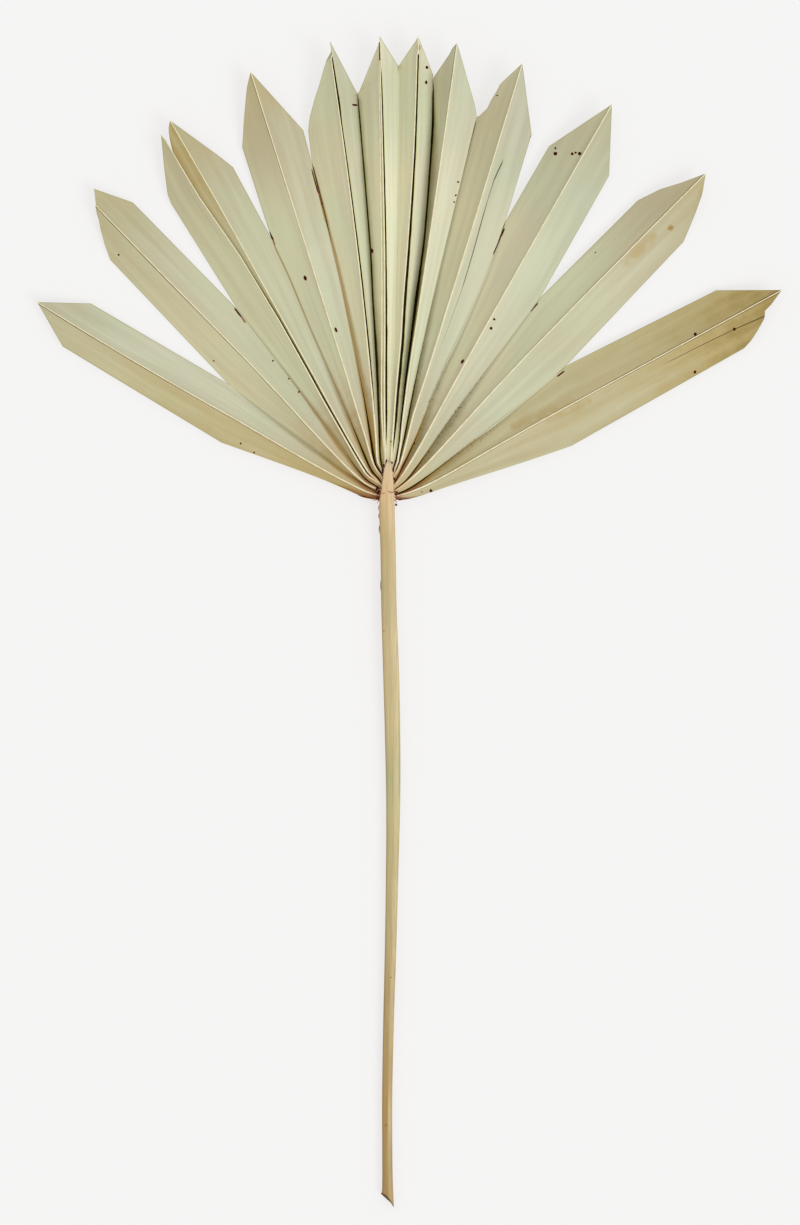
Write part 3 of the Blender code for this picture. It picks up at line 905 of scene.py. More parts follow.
def make_nick():
    """Short line mark from one end to another, ragged and pointed at both ends."""
    inputs = (("Position", "NodeSocketVector"), ("Start", "NodeSocketVector"), ("End", "NodeSocketVector"),
              ("Radius", "NodeSocketFloat"))
    group, given, result = new_group("nick", inputs, (("Mask", "NodeSocketFloat"),))
    run = vector_math(group, "SUBTRACT", given.outputs["End"], given.outputs["Start"]).outputs[0]
    way = vector_math(group, "SUBTRACT", given.outputs["Position"], given.outputs["Start"]).outputs[0]
    way_along_run = vector_math(group, "DOT_PRODUCT", way, run).outputs["Value"]
    run_squared = vector_math(group, "DOT_PRODUCT", run, run).outputs["Value"]
    along = compute(group, "DIVIDE", way_along_run, run_squared)
    along = compute(group, "MINIMUM", larger(group, along, 0.0), 1.0)
    foot = vector_math(group, "SCALE", run, (0.0, 0.0, 0.0))
    group.links.new(along, foot.inputs["Scale"])
    off = vector_math(group, "DISTANCE", way, foot.outputs[0]).outputs["Value"]
    belly = times(group, along, minus(group, 1.0, along))
    reach = times(group, given.outputs["Radius"], ramp(group, belly, 0.0, 0.16, 0.5, 1.0))
    inner, outer = times(group, reach, 0.25), times(group, reach, 1.35)
    mask = ramp(group, off, inner, outer, 1.0, 0.0)
    group.links.new(mask, result.inputs["Mask"])
    return group


nick = make_nick()
NICK_RAG = 0.16
SPECK_RAG = 0.8


def ragged_place(tree, position, reach):
    """Position laid flat and shifted by a fine noise within a reach in mm, so that rims come out ragged."""
    flat = vector_math(tree, "MULTIPLY", position, (1.0, 1.0, 0.0))
    ragged = cloud(tree, position, 900.0, 1.0)
    shift = times(tree, minus(tree, ragged, 0.5), reach * MM)
    return vector_math(tree, "ADD", flat.outputs[0], vector_of(tree, shift, shift, 0.0)).outputs[0]


def nicked(tree, place, nicks):
    """Joint mask of nicks."""
    mask = 0.0
    for start_x, start_y, end_x, end_y, half_width in nicks:
        node = use_group(tree, nick, Position=place, Radius=half_width * MM)
        for name, x, y in (("Start", start_x, start_y), ("End", end_x, end_y)):
            end = to_world(Vector((x, y, 0.0)))
            node.inputs[name].default_value = (end.x, end.y, 0.0)
        mask = larger(tree, mask, node.outputs["Mask"])
    return mask


def specked(tree, place, specks):
    """Joint mask of specks."""
    mask = 0.0
    for x, y, size in specks:
        centre = to_world(Vector((x, y, 0.0)))
        node = use_group(tree, speck, Position=place, Radius=size * 1.45 * MM)
        node.inputs["Centre"].default_value = (centre.x, centre.y, 0.0)
        mask = larger(tree, mask, node.outputs["Mask"])
    return mask


material, tree, shader, position = dry_material("dry_blade", 0.0)
uv = tree.nodes.new("ShaderNodeUVMap")
uv.uv_map = blade.data.uv_layers.active.name
vein, reach = parts_of(tree, uv.outputs["UV"])[:2]
hub_distance = times(tree, reach, 100.0)
facing = tree.nodes.new("ShaderNodeNewGeometry").outputs["True Normal"]
upper_face = ramp(tree, parts_of(tree, facing)[2], -0.1, 0.0)
fibre = use_group(tree, fibres, Across=vein, Along=times(tree, reach, 1.6), Count=46.0)
streak, band = fibre.outputs["Streak"], fibre.outputs["Band"]
patches = use_group(tree, mottle, Position=position, Size=0.05)
from_rib, from_edge = stored(tree, "from_rib"), stored(tree, "from_edge")
jitter = times(tree, minus(tree, patches.outputs["Blotch"], 0.5), 1.2)

# Colour of each side: the left halves, turned from the lamp, painted warmer as painted shade, the right
# halves greener as painted light; with beige streaks and greener drifts
colour = tint(tree, stored(tree, "side"), SHADED_LEFT_TINT, LIT_RIGHT_TINT)
left_share = ramp(tree, stored(tree, "side"), 0.0, 1.0, 1.0, 0.45)
beige = times(tree, ramp(tree, band, 0.35, 0.65, 0.0, 0.6), left_share)
colour = tint(tree, beige, colour, BEIGE_TINT)
colour = tint(tree, times(tree, patches.outputs["Drift"], 0.35), colour, MINT_TINT)

# Warmer towards the hub, less so in the middle and on the right
ragged_distance = plus(tree, hub_distance, times(tree, jitter, 30.0))
rightness = ramp(tree, parts_of(tree, position)[0], hub.x, hub.x + RIGHTNESS_REACH)
warmth = minus(tree, 1.0, times(tree, stored(tree, "pale"), 2.2))
warmth = larger(tree, minus(tree, warmth, times(tree, rightness, 0.55)), 0.1)
hub_warmth = times(tree, ramp(tree, ragged_distance, 58.0, 6.0, 0.0, 0.75), warmth)
colour = tint(tree, hub_warmth, colour, HUB_TINT)

# Paler in the middle, as painted light that lifts the shade of the steep pleats, darker towards the hub and
# the tips
light = times(tree, ramp(tree, hub_distance, 30.0, 80.0, 0.98, 1.08),
              ramp(tree, hub_distance, 125.0, 205.0, 1.0, 0.84))
light = times(tree, light, ramp(tree, band, 0.3, 0.7, 1.06, 0.95))
light = times(tree, light, plus(tree, stored(tree, "pale"), 1.0))
less_yellow = times(tree, light, ramp(tree, hub_distance, 60.0, 110.0, 1.0, 1.02))
colour = tint(tree, 1.0, colour, vector_of(tree, light, light, less_yellow), "MULTIPLY")

# Left halves painted darker and browner beside the tongue, painted shade of the folds there, and golden
# halves
folded = times(tree, minus(tree, 1.0, stored(tree, "side")),
               ramp(tree, ragged_distance, 60.0, 18.0, 0.0, 0.62))
right_share = minus(tree, 1.0, times(tree, rightness, 0.25))
folded = times(tree, folded, right_share)
colour = tint(tree, folded, colour, FOLD_SHADE_TINT)
golden = times(tree, stored(tree, "golden"), ramp(tree, band, 0.30, 0.65, 0.78, 1.08))
golden = plus(tree, golden, times(tree, times(tree, golden, jitter), 0.5))
gold = tint(tree, ramp(tree, golden, 0.85, 1.4), GOLD_TINT, OLD_GOLD_TINT)
colour = tint(tree, golden, colour, gold)


def beside(line_distance, width, soft):
    """Mask within a width of a line, with a ragged soft border; none where the width is nought."""
    rim = plus(tree, line_distance, times(tree, jitter, times(tree, width, 0.5)))
    inner = times(tree, width, 1.0 - soft)
    mask = ramp(tree, rim, times(tree, width, 1.0 + soft), inner)
    return times(tree, mask, ramp(tree, width, 0.02, 0.12))


# Olive shade, grit and stains out of the valleys
olive = times(tree, beside(from_edge, stored(tree, "olive"), 0.9), upper_face)
olive_depth = ramp(tree, stored(tree, "olive"), 0.4, 4.5, 0.3, 0.95)
olive_depth = times(tree, olive_depth, right_share)
colour = tint(tree, times(tree, olive, olive_depth), colour, OLIVE_TINT)
grit = ramp(tree, cloud(tree, position, 1300.0, 2.0), 0.56, 0.68)
gritty = times(tree, compute(tree, "MULTIPLY_ADD", rightness, 0.55, 0.15),
               ramp(tree, hub_distance, 90.0, 45.0))
grit = times(tree, times(tree, grit, olive), gritty)
colour = tint(tree, grit, colour, DARK_TINT)
stain = beside(from_edge, stored(tree, "stain"), 0.7)
stain_streak = ramp(tree, streak, 0.32, 0.66, 0.55, 1.0)
stain_tint = tint(tree, ramp(tree, hub_distance, 26.0, 9.0), STAIN_TINT, RUST_TINT)
colour = tint(tree, times(tree, stain, stain_streak), colour, stain_tint)

# Lines beside the ribs, partly painted shadow of the ribs, pale lines along valleys, cut edges, the tears and
# crack with painted shadow in them, and painted shadow in the deep valleys and furrows
# Line beside the rib: painted shadow of the rib on its left, with the last rib's brown edge
rib_shade_and_brown = beside(from_rib, stored(tree, "rib_shade_and_brown"), 0.4)
colour = tint(tree, times(tree, rib_shade_and_brown, 0.8), colour, RIB_SHADE_AND_BROWN_TINT)
pale_line = beside(from_edge, stored(tree, "pale_line"), 0.5)
colour = tint(tree, times(tree, pale_line, 0.75), colour, PALE_LINE_TINT)
free_edge = times(tree, ramp(tree, from_edge, 0.55, 0.1, 0.0, 0.6), stored(tree, "free"))
colour = tint(tree, free_edge, colour, EDGE_TINT)
# Dark line along the long tear and the crack, painted shadow in the gap
crack = beside(compute(tree, "ABSOLUTE", stored(tree, "crack")), stored(tree, "split"), 0.5)
colour = tint(tree, times(tree, crack, 0.9), colour, TEAR_SHADOW_TINT)
# Warm brown rim round the painted shadow in the valleys and furrows, painted shade
by_gully = beside(from_edge, times(tree, stored(tree, "gully"), 1.6), 0.9)
by_furrow = beside(from_rib, times(tree, stored(tree, "furrow"), 1.3), 0.4)
warm_shadow_rim = times(tree, larger(tree, by_gully, by_furrow), upper_face)
colour = tint(tree, warm_shadow_rim, colour, WARM_SHADOW_RIM, "MULTIPLY")
# Painted shadow, near black, in the deep valleys and in the furrows beside the middle ribs
dark = larger(tree, beside(from_edge, stored(tree, "gully"), 0.35),
              beside(from_rib, stored(tree, "furrow"), 0.15))
dark = times(tree, dark, times(tree, upper_face, 0.97))
colour = tint(tree, dark, colour, DARK_TINT)
fine_shade = ramp(tree, streak, 0.25, 0.75, 0.95, 1.03)
shaded = shaded_by(tree, fine_shade, colour)

# Patches, nicks and specks
nick_place = ragged_place(tree, position, NICK_RAG)
patchy = ramp(tree, patches.outputs["Blotch"], 0.36, 0.6, 0.15, 0.75)
shaded = tint(tree, times(tree, nicked(tree, nick_place, TAN_PATCHES), patchy), shaded, TAN_TINT)
marked = tint(tree, times(tree, nicked(tree, nick_place, TAN_NICKS), 0.8), shaded, STAIN_TINT)
marked = tint(tree, nicked(tree, nick_place, RUSTY_NICKS), marked, RUST_TINT)
# Specks, with the painted shadow in the slits at the notches
spots = larger(tree, specked(tree, ragged_place(tree, position, SPECK_RAG), SPECKS),
               nicked(tree, nick_place, SLIT_SHADOWS_AND_SPECKS))
spots = times(tree, spots, upper_face)
spot_tint = tint(tree, ramp(tree, spots, 0.3, 0.9), RUST_TINT, SPOT_TINT)
tree.links.new(tint(tree, ramp(tree, spots, 0.0, 0.5), marked, spot_tint), shader.inputs["Base Color"])
tree.links.new(ramp(tree, streak, 0.2, 0.8, 0.5, 0.68), shader.inputs["Roughness"])
add_relief(tree, shader, streak, 0.35, 0.0002)
blade.data.materials.append(material)
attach(blade, "root")
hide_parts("blade")

# Ribs
# The stiff rib on the fold of each segment, a pale cord that is part of the leaf. It stands a little
# proud of the lamina, thins towards the tip, and one more runs along the edge of the torn flap.
RIB_RADIUS = 0.37
RIB_ROOT_SHARE = 1.35
RIB_TIP_SHARE = 0.65
RIB_PROUD = 0.05
RIB_TINT = (0.90, 0.83, 0.59)
RIB_OLD_TINT = (0.74, 0.60, 0.34)
RIB_ROOT_TINT = (0.72, 0.47, 0.27)

# The sixth rib has split in two: how far to its left and below it the second cord lies, in mm, and how
# many rows before the tip it ends
SPLIT_RIB = 5
SPLIT_OUT = 1.35
SPLIT_DROP = 0.45
SPLIT_END = 8


def split_cord(line):
    """Line of the second cord of the split rib."""
    cord = []
    for point in line[:-SPLIT_END]:
        parting = smooth(0.0, 30.0, (point - line[0]).length)
        closing = 1.0 - 0.6 * smooth(120.0, 206.0, point.length)
        cord.append(point - Vector((SPLIT_OUT * parting * closing, 0.0, SPLIT_DROP)))
    return cord


def new_cord(name, radius, resolution):
    """Empty round curve with closed ends."""
    curve = bpy.data.curves.new(name, "CURVE")
    curve.dimensions = "3D"
    curve.bevel_depth = radius * MM
    curve.bevel_resolution = resolution
    curve.use_fill_caps = True
    return curve


def cord_piece(name, curve):
    """Curve made a mesh piece, which stays the active one."""
    piece = bpy.data.objects.new(name, curve)
    bpy.context.scene.collection.objects.link(piece)
    bpy.ops.object.select_all(action="DESELECT")
    piece.select_set(True)
    bpy.context.view_layer.objects.active = piece
    bpy.ops.object.convert(target="MESH")
    return piece


curve = new_cord("ribs", RIB_RADIUS, 2)
for line in [*rib_lines.values(), split_cord(rib_lines[SPLIT_RIB])]:
    spline = curve.splines.new("POLY")
    spline.points.add(len(line) - 1)
    for number, (knot, point) in enumerate(zip(spline.points, line)):
        knot.co = (*to_world(point + Vector((0.0, 0.0, RIB_PROUD))), 1.0)
        knot.radius = RIB_ROOT_SHARE - (RIB_ROOT_SHARE - RIB_TIP_SHARE) * (number / (len(line) - 1)) ** 0.5
ribs = cord_piece("ribs", curve)
bpy.ops.object.shade_smooth()
material, tree, shader, position = dry_material("pale_rib")
patches = use_group(tree, mottle, Position=position, Size=0.02)
age = ramp(tree, patches.outputs["Blotch"], 0.42, 0.66, 0.0, 0.5)
from_hub = vector_math(tree, "DISTANCE", position, to_world(Vector((0.0, 0.0, ROOT_LEVEL))))
root_share = ramp(tree, from_hub.outputs["Value"], 0.016, 0.005, 0.0, 0.75)
rib_colour = tint(tree, root_share, tint(tree, age, RIB_TINT, RIB_OLD_TINT), RIB_ROOT_TINT)
tree.links.new(rib_colour, shader.inputs["Base Color"])
shader.inputs["Roughness"].default_value = 0.5
ribs.data.materials.append(material)
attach(ribs, "root")
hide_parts("blade")

# Petiole
# The stalk of the leaf, solid and fibrous, dried tan with a greener stretch in its upper half. Its
# short pointed tongue lies over the roots of the pleats, and its foot was cut across at a slant.

# Stations from the cut end up, in mm about the hub: place, side, width, underside and top
PETIOLE = (
    (-343.6, -0.3, 6.3, 0.0, 3.9),
    (-338.0, -0.2, 5.3, 0.0, 4.1),
    (-325.0, -0.3, 4.9, 0.0, 4.1),
    (-295.0, -0.4, 4.9, 0.0, 4.2),
    (-260.0, 0.2, 5.1, 0.1, 4.3),
    (-223.0, 1.2, 5.5, 0.2, 4.5),
    (-185.0, 2.0, 6.0, 0.3, 4.8),
    (-150.0, 2.5, 6.8, 0.4, 5.2),
    (-120.0, 2.2, 7.4, 0.5, 5.6),
    (-90.0, 1.5, 7.7, 0.6, 6.0),
    (-60.0, 0.5, 7.4, 0.8, 6.4),
    (-30.0, 0.0, 7.3, 1.0, 6.8),
    (-14.0, -0.5, 7.5, 1.2, 7.1),
    (-9.3, -0.5, 7.4, 1.4, 7.2),
    (-9.0, -0.5, 7.4, 5.1, 7.2),
    (-4.0, -0.4, 6.7, 5.3, 7.3),
    (2.0, -0.1, 5.4, 5.4, 7.3),
    (6.5, 0.0, 4.4, 5.6, 7.2),
    (9.5, 0.1, 3.0, 5.7, 6.9),
    (10.8, 0.2, 1.4, 5.8, 6.6),
)
STALK_END = -9.3
NECK_PLACE = -9.15
TONGUE_START = -9.0
STALK_RINGS = 150
TONGUE_RINGS = 26
PETIOLE_SIDES = 36
END_SLANT = -1.05
END_HOLLOW = 1.4
SECTION_POWER = 0.82
FIBRE_RELIEF = 0.05
GRAIN_COUNT = 4.0
GRAIN_LENGTH = 45.0
GROOVE_DEPTH = 0.28
GROOVE_PLACE = -0.25
GROOVE_REACH = 0.3

# Colour of the stalk by place in mm, from the cut end to the tongue
STALK_TINTS = (
    (-343.0, (0.42, 0.27, 0.10)),
    (-295.0, (0.456, 0.300, 0.112)),
    (-223.0, (0.510, 0.392, 0.188)),
    (-151.0, (0.585, 0.505, 0.250)),
    (-79.0, (0.640, 0.505, 0.272)),
    (-26.0, (0.590, 0.455, 0.225)),
    (-6.0, (0.73, 0.51, 0.275)),
    (4.0, (0.80, 0.57, 0.33)),
    (11.0, (0.780, 0.620, 0.400)),
)
GREEN_STRETCHES = ((-55.0, 20.0), (-137.0, 30.0))
STALK_GREEN = (0.42, 0.42, 0.20)
STALK_HIGHLIGHT = (0.76, 0.64, 0.40)
STALK_SHADE_TINT = (0.33, 0.19, 0.075)
STALK_CUT = (0.10, 0.055, 0.025)
STALK_SPECKS = ((-1.0, -307.0, 0.5), (1.4, -236.0, 0.35), (-1.9, -70.0, 0.3))
STALK_NICKS = ((0.0, -3.0, 1.2, -3.9, 0.3), (1.2, -3.9, 2.9, -3.4, 0.35), (-3.2, -4.2, -1.6, -4.0, 0.3),
               (-2.0, 7.6, -2.6, 2.0, 0.22), (-3.0, -1.0, -3.9, -6.0, 0.25))


def stalk_station(place):
    """Side, width, underside and top of the stalk at a place, eased between the stations."""
    table = [row for row in PETIOLE if (row[0] < NECK_PLACE) == (place < NECK_PLACE)]
    below = [row for row in table if row[0] <= place] or table[:1]
    above = [row for row in table if row[0] > place] or table[-1:]
    before = below[-2] if len(below) > 1 else below[-1]
    after = above[1] if len(above) > 1 else above[0]
    start, end = below[-1], above[0]
    span = max(0.001, end[0] - start[0])
    share = min(1.0, max(0.0, (place - start[0]) / span))
    values = []
    for column in range(1, 5):
        start_slope = (end[column] - before[column]) / max(0.001, end[0] - before[0]) * span
        end_slope = (after[column] - start[column]) / max(0.001, after[0] - start[0]) * span
        cube, square = share ** 3, share ** 2
        values.append((2 * cube - 3 * square + 1) * start[column] + (cube - 2 * square + share) * start_slope
                      + (3 * square - 2 * cube) * end[column] + (cube - square) * end_slope)
    return values


def filled_out(value):
    """Cosine or sine of a section's angle, filled out towards a box with round corners."""
    return math.copysign(abs(value) ** SECTION_POWER, value)


stalk_places = [float(place) for place in np.linspace(PETIOLE[0][0], STALK_END, STALK_RINGS)]
tongue_places = [float(place) for place in np.linspace(TONGUE_START, PETIOLE[-1][0], TONGUE_RINGS)]
ring_places = stalk_places + tongue_places
bpy.ops.mesh.primitive_cylinder_add(vertices=PETIOLE_SIDES, radius=1.0, depth=2.0)
petiole = bpy.context.object
petiole.name = "petiole_stalk"
bpy.ops.object.mode_set(mode="EDIT")
cage = bmesh.from_edit_mesh(petiole.data)
for edge in cage.edges:
    edge.select_set(abs(edge.verts[0].co.z - edge.verts[1].co.z) > 1.0)
bmesh.update_edit_mesh(petiole.data)
bpy.ops.mesh.subdivide(number_cuts=len(ring_places) - 2)
bpy.ops.object.mode_set(mode="OBJECT")
mesh = petiole.data
laterals = np.zeros((len(mesh.vertices), 1))
for number, vertex in enumerate(mesh.vertices):
    ring = round((vertex.co.z + 1.0) / 2.0 * (len(ring_places) - 1))
    place = ring_places[ring]
    side, width, under, upper = stalk_station(place)
    angle = math.atan2(vertex.co.y, vertex.co.x)
    lateral = filled_out(math.cos(angle))
    round_place = (math.cos(angle) * GRAIN_COUNT, math.sin(angle) * GRAIN_COUNT)
    grain = noise.noise(Vector((*round_place, place / GRAIN_LENGTH)))
    swell = FIBRE_RELIEF * grain * min(1.0, width / 4.0)
    height = (under + upper) / 2.0 + filled_out(math.sin(angle)) * (upper - under) / 2.0
    if math.sin(angle) > 0.0:
        groove = math.exp(-((lateral - GROOVE_PLACE) / GROOVE_REACH) ** 2)
        height -= GROOVE_DEPTH * groove * math.sin(angle)
        height += swell * 2.0 * math.sin(angle) - abs(swell)
    offset = side + lateral * (width / 2.0 - abs(swell))
    if ring == 0:
        place += offset * END_SLANT + END_HOLLOW * (1.0 - lateral ** 2)
    laterals[number] = lateral
    vertex.co = to_world(Vector((offset, place, height)))
keep_measures(mesh, ("lateral",), laterals)
bpy.ops.object.mode_set(mode="EDIT")
bpy.ops.mesh.select_all(action="SELECT")
bpy.ops.mesh.normals_make_consistent(inside=False)
bpy.ops.object.mode_set(mode="OBJECT")
bpy.ops.object.shade_smooth_by_angle(angle=math.radians(50))

material, tree, shader, position = dry_material("dry_petiole")
x, y, z = parts_of(tree, position)
across_place = compute(tree, "DIVIDE", minus(tree, x, hub.x), MM)
along_place = compute(tree, "DIVIDE", minus(tree, y, hub.y), MM)
rise = compute(tree, "DIVIDE", z, MM)
lateral = stored(tree, "lateral")
turned = plus(tree, across_place, times(tree, rise, 0.8))
fibre = use_group(tree, fibres, Across=turned, Along=compute(tree, "DIVIDE", along_place, 26.0), Count=3.4)
streak, band = fibre.outputs["Streak"], fibre.outputs["Band"]
patches = use_group(tree, mottle, Position=position, Size=0.03)
tints = tree.nodes.new("ShaderNodeValToRGB")
first_place, last_place = STALK_TINTS[0][0], STALK_TINTS[-1][0]
for number, (place, stalk_tint) in enumerate(STALK_TINTS):
    share = (place - first_place) / (last_place - first_place)
    stop = tints.color_ramp.elements[number] if number < 2 else tints.color_ramp.elements.new(share)
    stop.position = share
    stop.color = (*stalk_tint, 1.0)
tints_place = tree.nodes.new("ShaderNodeMapRange")
for socket, value in zip(tints_place.inputs, (along_place, first_place, last_place)):
    link_or_set(tree, socket, value)
tree.links.new(tints_place.outputs[0], tints.inputs["Fac"])
colour = tints.outputs["Color"]
for place, half_length in GREEN_STRETCHES:
    away = compute(tree, "ABSOLUTE", minus(tree, along_place, place))
    green = ramp(tree, away, half_length, 0.0, 0.0, 0.5)
    green = times(tree, green, ramp(tree, band, 0.35, 0.65, 0.3, 1.0))
    colour = tint(tree, green, colour, STALK_GREEN)
# Painted highlight down the right of the stalk, painted shade along its left edge and at its right rim
highlight_band = ramp(tree, compute(tree, "ABSOLUTE", minus(tree, lateral, 0.45)), 0.6, 0.1, 0.0, 0.5)
colour = tint(tree, times(tree, highlight_band, ramp(tree, band, 0.3, 0.7, 0.5, 1.0)), colour, STALK_HIGHLIGHT)
edge_shade = ramp(tree, plus(tree, lateral, times(tree, band, 0.15)), -0.68, -0.94, 0.0, 0.5)
colour = tint(tree, edge_shade, colour, STALK_SHADE_TINT)
right_shade = ramp(tree, lateral, 0.86, 1.0, 0.0, 0.15)
colour = tint(tree, right_shade, colour, STALK_SHADE_TINT)
foot = plus(tree, along_place, times(tree, across_place, -END_SLANT))
hollow = compute(tree, "MULTIPLY_ADD", times(tree, lateral, lateral), END_HOLLOW, -END_HOLLOW)
foot = plus(tree, foot, hollow)
cut_edge = ramp(tree, foot, PETIOLE[0][0] + 1.3, PETIOLE[0][0] + 0.4, 0.0, 0.85)
colour = tint(tree, cut_edge, colour, STALK_CUT)
fine_shade = ramp(tree, streak, 0.28, 0.72, 0.80, 1.10)
colour = shaded_by(tree, fine_shade, colour)
ragged = ragged_place(tree, position, SPECK_RAG)
colour = tint(tree, times(tree, nicked(tree, ragged, STALK_NICKS), 0.8), colour, RUST_TINT)
stalk_spots = times(tree, specked(tree, ragged, STALK_SPECKS), 0.6)
tree.links.new(tint(tree, stalk_spots, colour, RUST_TINT), shader.inputs["Base Color"])
tree.links.new(ramp(tree, streak, 0.2, 0.8, 0.45, 0.7), shader.inputs["Roughness"])
add_relief(tree, shader, streak, 0.5, 0.0003)
petiole.data.materials.append(material)
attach(petiole, "root")
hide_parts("petiole")

# Neck fibres
# Torn fibres and dark scabs where the pleats meet the stalk, with a few slivers along the stalk's
# left side. They are ends of the leaf's own tissue, dried brown, and stay where they grew.

# Scabs: place in mm about the hub, half width, half length, and turn in degrees
SCABS = (
    (-0.8, 11.3, 7.0, 0.35, 0.75, 8.0), (-2.0, 9.1, 6.9, 0.38, 0.9, -12.0), (-2.7, 6.5, 6.8, 0.4, 1.0, -8.0),
    (1.9, 10.5, 6.8, 0.42, 0.6, -38.0), (2.6, 7.0, 6.8, 0.35, 0.9, -14.0), (3.0, 2.7, 6.4, 0.38, 0.9, -12.0),
    (-4.9, -3.0, 5.6, 0.9, 1.7, -18.0), (-4.7, -6.0, 4.6, 0.6, 1.4, -8.0), (3.9, -4.0, 5.4, 0.7, 1.0, 30.0),
    (3.9, -9.6, 4.6, 0.5, 0.6, 0.0),
)

# Strands, by three places each, in mm about the hub
STRANDS = (
    ((-3.4, -5.4, 5.4), (-6.4, -6.6, 5.3), (-9.8, -6.3, 5.0)),
    ((-3.6, -6.4, 4.8), (-5.8, -7.3, 4.8), (-7.8, -7.2, 4.7)),
    ((-3.6, -4.0, 6.0), (-5.6, -5.2, 5.8), (-8.8, -5.2, 5.4)),
    ((-3.7, -7.2, 4.2), (-4.8, -7.9, 4.0), (-5.0, -9.0, 3.8)),
    ((-4.4, -2.0, 5.9), (-5.6, -3.4, 5.8), (-7.4, -4.3, 5.5)),
    ((-9.8, -6.3, 5.0), (-12.4, -5.7, 4.8), (-14.6, -4.9, 4.6)),
    ((3.0, -4.4, 5.6), (5.4, -6.3, 5.4), (9.2, -6.6, 5.0)),
    ((3.1, -5.6, 5.0), (4.8, -7.2, 4.8), (6.8, -7.3, 4.6)),
    ((2.8, -3.2, 6.2), (4.6, -4.4, 6.0), (7.0, -5.4, 5.6)),
    ((3.1, -7.2, 4.0), (3.9, -7.9, 4.0), (4.3, -9.0, 4.0)),
    ((-4.1, -9.8, 4.2), (-4.5, -11.2, 4.4), (-4.5, -12.4, 4.5)),
    ((-4.1, -13.6, 4.0), (-4.4, -15.0, 4.1), (-4.3, -16.4, 4.2)),
    ((-3.3, -46.0, 3.4), (-3.5, -48.5, 3.5), (-3.4, -51.0, 3.6)),
    ((-4.0, -19.6, 3.6), (-4.2, -21.6, 3.6), (-4.0, -23.4, 3.6)),
)
STRAND_RADIUS = 0.27
STRAND_TAPER = 0.38
SCAB_HALF_THICKNESS = 0.3
SCAB_LUMP = 0.35
SCAB_TINT = (0.020, 0.008, 0.003)
STRAND_TINT = (0.42, 0.13, 0.045)
STRAND_DARK = (0.11, 0.022, 0.008)

curve = new_cord("neck_fibres", STRAND_RADIUS, 1)
for strand in STRANDS:
    spline = curve.splines.new("BEZIER")
    spline.bezier_points.add(len(strand) - 1)
    for number, (knot, place) in enumerate(zip(spline.bezier_points, strand)):
        knot.co = to_world(Vector(place))
        knot.handle_left_type = "AUTO"
        knot.handle_right_type = "AUTO"
        knot.radius = 1.0 - STRAND_TAPER * number
neck = cord_piece("neck_fibres", curve)
neck.data.attributes.new("scabbed", "FLOAT", "CORNER")
pieces = [neck]
for x, y, z, half_width, half_length, turn in SCABS:
    bpy.ops.mesh.primitive_ico_sphere_add(subdivisions=3, radius=1.0)
    scab = bpy.context.object
    turn_cos, turn_sin = math.cos(math.radians(turn)), math.sin(math.radians(turn))
    for vertex in scab.data.vertices:
        lump = 1.0 + SCAB_LUMP * noise.noise(vertex.co * 1.6 + Vector((x, y, z)))
        wide, long = vertex.co.x * half_width * lump, vertex.co.y * half_length * lump
        vertex.co = to_world(Vector((
            x + wide * turn_cos + long * turn_sin,
            y - wide * turn_sin + long * turn_cos,
            z + vertex.co.z * SCAB_HALF_THICKNESS * lump,
        )))
    keep_measures(scab.data, ("scabbed",), np.ones((len(scab.data.vertices), 1)))
    pieces.append(scab)
join_pieces(pieces)
bpy.ops.object.shade_smooth()
material, tree, shader, position = dry_material("neck_fibre")
patches = use_group(tree, mottle, Position=position, Size=0.006)
fray = tint(tree, ramp(tree, patches.outputs["Blotch"], 0.4, 0.6), STRAND_TINT, STRAND_DARK)
tree.links.new(tint(tree, stored(tree, "scabbed"), fray, SCAB_TINT), shader.inputs["Base Color"])
shader.inputs["Roughness"].default_value = 0.75
neck.data.materials.append(material)
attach(neck, "root")
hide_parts("petiole")

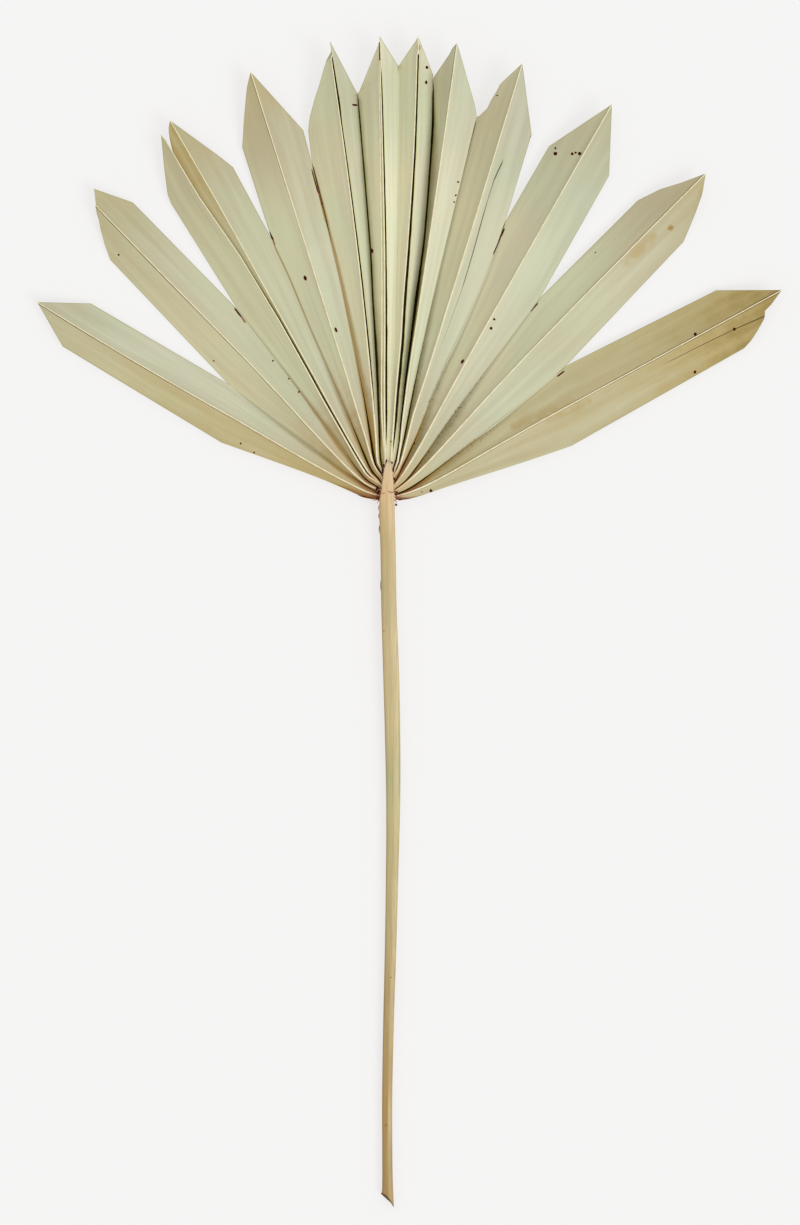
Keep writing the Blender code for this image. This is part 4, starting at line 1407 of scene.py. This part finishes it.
# Floor
# A plain pale sheet that the leaf lies on. It glows a little, as a lit background sheet does.
FLOOR_SIZE = 6.0
FLOOR_DROP = 0.0002
FLOOR_TINT = (0.26, 0.26, 0.26, 1.0)
GLOW_TINT = (1.0, 0.99, 0.985, 1.0)
GLOW_STRENGTH = 0.665
bpy.ops.mesh.primitive_plane_add(size=FLOOR_SIZE, location=(0.0, 0.0, -FLOOR_DROP))
floor = bpy.context.object
floor.name = "floor"
material, tree, shader, position = dry_material("pale_floor", 0.0)
shader.inputs["Base Color"].default_value = FLOOR_TINT
shader.inputs["Roughness"].default_value = 0.9
shader.inputs["Emission Color"].default_value = GLOW_TINT
shader.inputs["Emission Strength"].default_value = GLOW_STRENGTH
floor.data.materials.append(material)

# Light
# Soft light from all round, and a broad lamp to the right of the leaf.
SKY_STRENGTH = 0.78
LAMP_STRENGTH = 0.95
LAMP_BREADTH = 30.0
LAMP_TURNS = (28.0, 42.0, 0.0)
world = bpy.data.worlds.new("studio")
bpy.context.scene.world = world
world.use_nodes = True
sky = world.node_tree.nodes["Background"]
sky.inputs["Color"].default_value = (1.0, 1.0, 1.0, 1.0)
sky.inputs["Strength"].default_value = SKY_STRENGTH
lamp_data = bpy.data.lights.new("key", "SUN")
lamp_data.energy = LAMP_STRENGTH
lamp_data.angle = math.radians(LAMP_BREADTH)
lamp = bpy.data.objects.new("key", lamp_data)
bpy.context.scene.collection.objects.link(lamp)
lamp.rotation_euler = [math.radians(turn) for turn in LAMP_TURNS]

# Camera
# Straight above the leaf, from far enough that the raised ribs stay in place.
FRAME_HEIGHT = 0.588
CAMERA_RISE = 2.6
SENSOR = 36.0
FRAME_MIDDLE = Vector((5.76, -61.2, 0.0))
camera_data = bpy.data.cameras.new("camera")
camera_data.sensor_width = SENSOR
camera_data.lens = SENSOR * CAMERA_RISE / FRAME_HEIGHT
camera = bpy.data.objects.new("camera", camera_data)
bpy.context.scene.collection.objects.link(camera)
camera.location = to_world(FRAME_MIDDLE) + Vector((0.0, 0.0, CAMERA_RISE))
bpy.context.scene.camera = camera
bpy.context.scene.view_settings.view_transform = "Standard"
